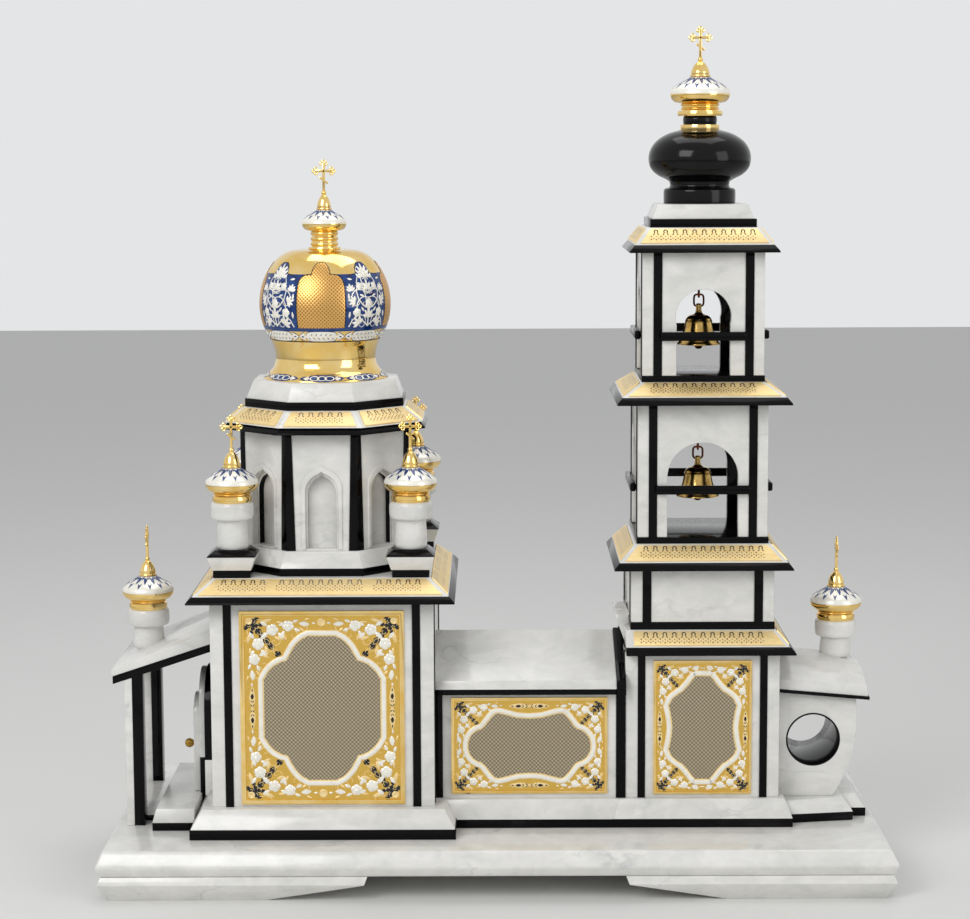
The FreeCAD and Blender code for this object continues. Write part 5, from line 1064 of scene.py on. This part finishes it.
def corner_spray(panel, corner, size, notch):
    """Corner knots in niello with gold strands, between silver roses; u and v run in from the corner."""
    inward = Matrix.Translation((-corner[0], RELIEF_LEVEL, -corner[1]))
    inward = inward @ Matrix.Diagonal((size, size, size, 1))

    def put(work, motif, u, v, turn=0.0, swapped=False):
        spot = inward @ (SWAP if swapped else Matrix()) @ at(u, v, turn)
        for sign_x in (1, -1):
            for sign_z in (1, -1):
                stamped(work, motif, Matrix.Diagonal((sign_x, 1, sign_z, 1)) @ spot)

    lean = atan2(notch[1] - KNOT_START, notch[0] - KNOT_START)
    long = hypot(notch[1] - KNOT_START, notch[0] - KNOT_START)

    def along(work, motif, x, z, turn=0.0):
        u = KNOT_START + x * cos(lean) - z * sin(lean)
        v = KNOT_START + x * sin(lean) + z * cos(lean)
        put(work, motif, u, v, turn + lean * 180 / pi)

    for x, z, turn, leaf, wide in (
            (-5.0, 0, 0, 11.0, 8.0), (-2.2, 1.6, 66, 6.4, 3.6), (-2.2, -1.6, -66, 6.4, 3.6),
            (2.4, 2.4, 36, 5.6, 3.0), (2.4, -2.4, -36, 5.6, 3.0), (4.2, 0, 0, 7.0, 5.6)):
        along(panel["niello"], petal(leaf, wide, 0.3, 0.5), x, z, turn)
    for k in range(int((long - 14) / 5.4)):
        along(panel["niello"], petal(7.2, 5.4, 0.3, 0.5), 8.8 + 5.4 * k, 0)
    along(panel["niello"], petal(6.0, 5.6, 0.3, 0.5), long - 5.6, 0)
    for side in (1, -1):
        waves = [(3.4, 50 * side)] + [(3.4, -100 * side), (3.4, 100 * side)] * 2 + [(3.4, -50 * side)]
        along(panel["plate"], tendril(waves, *STRAND), 8.0, -1.5 * side)
        for x, z, radius in ((-1.6, 2.2, 2.1), (3.6, 1.8, 2.0)):
            along(panel["plate"], tendril([(radius, 350 * side)], *STRAND), x, (z - radius) * side, 0)
    rose, small_rose = blossom(5.0, 1.6), blossom(4.7, 1.6)
    for swapped in (False, True):
        put(panel["silver"], rose, 26.0, 14.8, 0, swapped)
        put(panel["silver"], small_rose, 38.5, 11.6, 20, swapped)
        for u, v, turn, leaf, wide in (
                (21.5, 17.0, 130, 7.5, 4.2), (30.5, 17.2, 40, 7.0, 4.0), (31.0, 11.4, -25, 6.0, 3.4),
                (22.0, 11.6, 215, 6.5, 3.8), (35.5, 15.4, 115, 5.5, 3.2), (43.0, 13.6, 25, 5.5, 3.0),
                (42.0, 8.6, -20, 5.0, 2.8), (47.0, 9.6, 6, 8.5, 4.6), (57.0, 9.4, 0, 3.6, 1.8)):
            put(panel["silver"], petal(leaf, wide, 0.9), u, v, turn, swapped)
        for u, v, turn, leaf, wide in (
                (27.5, 20.5, 15, 7.5, 3.6), (34.0, 17.5, 60, 6.5, 3.0), (17.5, 8.5, -15, 8.5, 3.8),
                (29.0, 8.4, 5, 6.5, 2.6), (47.5, 13.0, 40, 5.0, 2.2), (51.5, 6.8, -20, 4.5, 1.8)):
            put(panel["plate"], petal(leaf, wide, 0.8), u, v, turn, swapped)
        for u, v, turn, arcs in (
                (30.0, 20.5, 20, [(3.4, 200), (1.8, 150)]), (44.0, 16.0, 10, [(2.6, 210), (1.4, 120)]),
                (14.0, 6.6, -10, [(9, 30), (4, -160), (2, -140)]), (52.5, 11.5, 30, [(2.2, 230)])):
            put(panel["plate"], tendril(arcs, 0.9, 0.5, 0.8), u, v, turn, swapped)


def side_knot(panel, x, z, size, turn):
    """Slim knot: crossed and pointed leaves in niello, on a raised gilt backing."""
    for side in (1, -1):
        way = at(x, z, turn, size, RELIEF_LEVEL) @ across(side)
        stamped(panel["plate"], petal(18, 4.6, 0.3), way @ at(-1.5, 0))
        for long, wide, high, spot, lean in (
                (5.2, 3.0, 0.6, 6.2, 0), (2.6, 1.2, 0.5, 12.2, 0), (2.6, 0.9, 0.5, 1.0, 35),
                (2.6, 0.9, 0.5, 1.0, -35), (2.4, 0.9, 0.5, 4.2, 35), (2.4, 0.9, 0.5, 4.2, -35)):
            stamped(panel["niello"], petal(long, wide, high), way @ at(spot, 0, lean))


def ornament_panel(width, height, quarter, rail, corner_size, notch, knots, studs=(), leaves=()):
    """Flat panel: stepped gilt plate, silver band round an engraved field, and relief in its corners."""
    panel = {name: bmesh.new() for name in PANEL_PARTS}
    half, tall = width / 2, height / 2
    board = cut_sheet([(-half, -tall), (half, -tall), (half, tall), (-half, tall)], PANEL_THICKNESS, 0.25)
    board.faces.ensure_lookup_table()
    front = max(board.faces, key=lambda f: (-f.calc_center_median().y, f.calc_area()))
    bmesh.ops.inset_region(board, faces=[front], thickness=rail, depth=0.0)
    bmesh.ops.inset_region(board, faces=[front], thickness=0.5, depth=-0.7)
    for face in board.faces:
        face.material_index = 0
    front.material_index = 1
    stamped(panel["ground"], board)
    outer = mirrored_round(quarter)
    if sum(a[0] * b[1] - b[0] * a[1] for a, b in zip(outer, outer[1:] + outer[:1])) > 0:
        outer.reverse()
    stamped(panel["plate"], band(grown(outer, 0.5), grown(outer, -4.4), 0.45, 0.15), at(y=GROUND_LEVEL))
    silver_band = band(grown(outer, 0.0), grown(outer, -3.4), 0.8, 0.7)
    stamped(panel["silver"], silver_band, at(y=GROUND_LEVEL - 0.35))
    stamped(panel["field"], cut_sheet(grown(outer, -4.1), 0.3), at(y=GROUND_LEVEL))
    corner_spray(panel, (half, tall), corner_size, notch)
    for x, z, size, turn in knots:
        side_knot(panel, x, z, size, turn)
    for x, z, radius in studs:
        stamped(panel["plate"], stud(radius, 0.75), at(x, z, y=GROUND_LEVEL))
    for x, z, turn in leaves:
        stamped(panel["silver"], petal(5.6, 2.8, 0.8), at(x, z, turn, y=RELIEF_LEVEL))
    return panel


# Upper right quarters of the bands, from the middle of the top to the middle of the right

nave_quarter = [(0, 62.2), (11.5, 62.2)]
nave_quarter += curved([(11.5, 62.2), (18.5, 58.6), (25.0, 52.0), (29.4, 44.4)])
nave_quarter += [(30.6, 41.6), (33.6, 41.2)]
nave_quarter += curved([(33.6, 41.2), (40.2, 37.4), (46.0, 31.4), (50.2, 24.0)]) + [(50.2, 0.0)]
refectory_quarter = [(0, 26.4), (9.0, 27.0), (18.0, 29.4)]
refectory_quarter += curved([(18.0, 29.4), (24.6, 30.8), (29.8, 29.4), (34.6, 24.6), (38.8, 18.8)])
refectory_quarter += [(40.2, 17.4), (43.2, 16.6)]
refectory_quarter += curved([(43.2, 16.6), (48.2, 13.0), (51.6, 8.0), (53.2, 2.4)]) + [(53.2, 0.0)]
tower_quarter = [(0, 46.3), (6.4, 46.2)]
tower_quarter += curved([(6.4, 46.2), (10.2, 43.4), (14.6, 37.6), (17.8, 34.0)])
tower_quarter += [(18.8, 32.8), (20.8, 31.8)]
tower_quarter += curved([(20.8, 31.8), (27.6, 26.0), (31.4, 18.2)])
tower_quarter += curved([(31.4, 18.2), (29.4, 9.0), (28.4, 0.0)])

nave_panel = ornament_panel(
    129.5, 155.5, nave_quarter, rail=4.8, corner_size=1.0, notch=(32.0, 36.2),
    knots=[(-55.2, 0, 1.08, 90), (55.2, 0, 1.08, 90)],
    studs=[(0, 68.9, 3.4), (0, -68.9, 3.4), (-57.0, 70.0, 2.9), (57.0, 70.0, 2.9), (57.0, -70.0, 2.9),
           (-57.0, -70.0, 2.9)])
refectory_panel = ornament_panel(
    125.0, 78.6, refectory_quarter, rail=3.0, corner_size=0.68, notch=(31.5, 32.5),
    knots=[(0, 32.4, 1.0, 0), (0, -32.4, 1.0, 0)],
    leaves=[(sx * 57.0, sz * 3.0, sz * 90) for sx in (1, -1) for sz in (1, -1)])
tower_panel = ornament_panel(
    78.5, 109.0, tower_quarter, rail=2.6, corner_size=0.65, notch=(30.0, 32.8),
    knots=[(-34.2, -1, 0.9, 90), (34.2, -1, 0.9, 90)],
    leaves=[(sx * 2.4, sz * 49.4, 90 - 90 * sx) for sx in (1, -1) for sz in (1, -1)])

# Each panel's middle, how far out its wall stands, and the height of its middle

PANELS = ((NAVE_X, 88.0, 142.5, nave_panel), (REFECTORY_X, 62.0, 105.25, refectory_panel),
          (TOWER_X, 61.5, 119.5, tower_panel))
works = {key: bmesh.new() for key in PANEL_PARTS}
for x, wall, middle, panel in PANELS:
    for turn in (0, 180):
        place = round_place(x, 0, middle, turn) @ Matrix.Translation((0, -wall, 0))
        for key, work in works.items():
            stamped(work, panel[key], place)
piece("panel_boards", works["ground"], [gold, gold_ground], nodes=["ornament_panels"])
piece("panel_gilt_relief", works["plate"], [gold_sheet])
piece("panel_silver_relief", works["silver"], [silver])
piece("panel_niello", works["niello"], [niello])
piece("panel_fields", works["field"], [silver_field])


# Bells, chain, door fittings and rod

def bell_shape():
    """Turned bell with a thick bright lip, two raised rings and a crown."""
    outside = side_line(
        [(17.2, 0), (17.2, 0.9)],
        [(17.2, 0.9), (15.6, 3.0), (13.9, 6.6), (12.4, 11.0), (11.4, 15.4), (10.9, 18.4)],
        [(10.9, 18.4), (11.1, 18.9), (10.7, 19.4)], [(10.7, 19.4), (9.7, 21.4), (7.6, 23.2), (4.9, 24.0)],
        [(4.9, 24.0), (3.0, 25.2), (2.2, 28.2)], [(2.2, 28.2), (2.2, 31.9), (1.4, 33.0), (0, 33.0)],
        steps=5)
    inside = side_line(
        [(0, 21.7), (3.4, 21.7)], [(3.4, 21.7), (7.4, 20.4), (9.1, 17.0)],
        [(9.1, 17.0), (11.4, 8.0), (15.6, 0)], [(15.6, 0), (17.2, 0)], steps=4)
    return turned(outside + inside, 64)


def bent_wire(path, radius):
    """Round wire along a closed path of points, as a curve made into a mesh."""
    line = bpy.data.curves.new("wire", "CURVE")
    line.dimensions = "3D"
    line.bevel_depth = radius
    line.bevel_resolution = 2
    run = line.splines.new("POLY")
    run.points.add(len(path) - 1)
    for spot, point in zip(run.points, path):
        spot.co = (*point, 1.0)
    run.use_cyclic_u = True
    holder = bpy.data.objects.new("wire", line)
    mesh = bpy.data.meshes.new_from_object(holder)
    bm = bmesh.new()
    bm.from_mesh(mesh)
    bpy.data.objects.remove(holder)
    bpy.data.curves.remove(line)
    bpy.data.meshes.remove(mesh)
    bmesh.ops.remove_doubles(bm, verts=bm.verts, dist=0.001)
    bmesh.ops.recalc_face_normals(bm, faces=bm.faces)
    return bm


# The link: middle of its lower bar over the bell's rim, half width and half length to the middle of the wire

LINK_LEVEL = 30.8
LINK_HALF_WIDTH = 3.9
LINK_HALF_LENGTH = 4.7
WIRE_RADIUS = 0.8


def link_path(bottom):
    """Middle of the link's wire: a rounded oblong that stands upright in a belfry."""
    path = []
    for k in range(32):
        turn = 2 * pi * k / 32
        swell = 1 / (abs(cos(turn)) ** 4 + abs(sin(turn)) ** 4) ** 0.25
        across_it, up_it = LINK_HALF_WIDTH * cos(turn) * swell, LINK_HALF_LENGTH * sin(turn) * swell
        path.append((TOWER_X + across_it, 0, bottom + LINK_HALF_LENGTH + up_it))
    return path


bell_solid = bell_shape()
clapper_line = side_line(
    [(0, -4.0), (2.4, -3.2), (3.5, -0.5), (2.6, 2.0), (1.0, 3.2)], [(1.0, 3.2), (0.9, 17.0)],
    [(0.9, 17.0), (1.5, 18.0), (1.7, 19.2), (1.0, 20.6), (0, 20.9)], steps=4)
clapper_solid = turned(clapper_line, 24)

# Both belfries, with the height of the bell's rim

for word, rim in (("lower", 298.1), ("upper", 422.0)):
    bell, clapper, link = word + "_bell", word + "_clapper", word + "_link"
    place = round_place(TOWER_X, 0, rim)
    piece(bell + "_turned", placed(bell_solid, place), [bell_brass], bell, [bell], 50)
    piece(clapper + "_turned", placed(clapper_solid, place), [bell_brass], clapper, [clapper])
    wire = bent_wire(link_path(rim + LINK_LEVEL), WIRE_RADIUS)
    piece(link + "_bent", wire, [copper], link, [link])

# Small fittings that are shown by the CAD's own meshes

for name, finish in (("bell_hooks", copper), ("door_knob", hinge_brass), ("door_straps", hinge_brass),
                     ("door_pintles", hinge_brass), ("tie_rod", steel)):
    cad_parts[name].data.materials.clear()
    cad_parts[name].data.materials.append(finish)


# Floor, light and camera

def stage_floor():
    """Plain pale table top that the object stands on."""
    bm = bmesh.new()
    bmesh.ops.create_grid(bm, x_segments=1, y_segments=1, size=6.0)
    mesh = bpy.data.meshes.new("floor")
    bm.to_mesh(mesh)
    bm.free()
    mesh.materials.append(new_finish("plain pale floor", "DEDEDC", 0.0, 0.55)[0])
    made = bpy.data.objects.new("floor", mesh)
    bpy.context.scene.collection.objects.link(made)


def soft_box(name, place, aim, width, height, watts):
    """Large soft lamp that faces a point."""
    lamp = bpy.data.lights.new(name, "AREA")
    lamp.shape = "RECTANGLE"
    lamp.size, lamp.size_y, lamp.energy = width, height, watts
    made = bpy.data.objects.new(name, lamp)
    bpy.context.scene.collection.objects.link(made)
    made.location = place
    made.rotation_mode = "QUATERNION"
    made.rotation_quaternion = (Vector(aim) - Vector(place)).to_track_quat("-Z", "Y")


stage_floor()
soft_box("key", (-1.1, -1.6, 1.5), (0, 0, 0.3), 1.1, 1.1, 22)
soft_box("fill", (1.6, -1.3, 0.9), (0, 0, 0.3), 0.9, 1.4, 9)
soft_box("top", (0.1, 0.3, 1.9), (0, 0, 0.2), 1.4, 1.0, 9)

world = bpy.data.worlds.new("studio")
bpy.context.scene.world = world
world.use_nodes = True
room = world.node_tree
room.nodes.clear()
rays = add_node(room, "LightPath")
seen = add_node(room, "Math", {0: rays.outputs["Is Camera Ray"], 1: rays.outputs["Is Glossy Ray"]},
                operation="MAXIMUM")
seen = add_node(room, "Math", {0: seen, 1: rays.outputs["Is Transmission Ray"]}, operation="MAXIMUM")
lit = add_node(room, "Background", {"Color": linear("F4F5F6"), "Strength": 0.5})
shown = add_node(room, "Background", {"Color": linear("E4E5E6"), "Strength": 1.0})
mixed = add_node(room, "MixShader", {0: seen, 1: lit, 2: shown})
add_node(room, "OutputWorld", {"Surface": mixed})

# Place in metres and turns in degrees, as the photograph's edges give them

CAMERA_PLACE = (0, -1.981, 0.5787)
CAMERA_PAN = 0.24
CAMERA_TILT = 82.8
CAMERA_ROLL = -0.25

camera = bpy.data.cameras.new("camera")
camera.lens = 90.93
camera.sensor_width = 36.0
camera.clip_end = 20.0
viewer = bpy.data.objects.new("camera", camera)
bpy.context.scene.collection.objects.link(viewer)
place = Matrix.Translation(CAMERA_PLACE)
for turn, axis in ((CAMERA_PAN, "Z"), (CAMERA_TILT, "X"), (CAMERA_ROLL, "Z")):
    place = place @ Matrix.Rotation(radians(turn), 4, axis)
viewer.matrix_world = place
bpy.context.scene.camera = viewer
bpy.context.scene.view_settings.view_transform = "Standard"
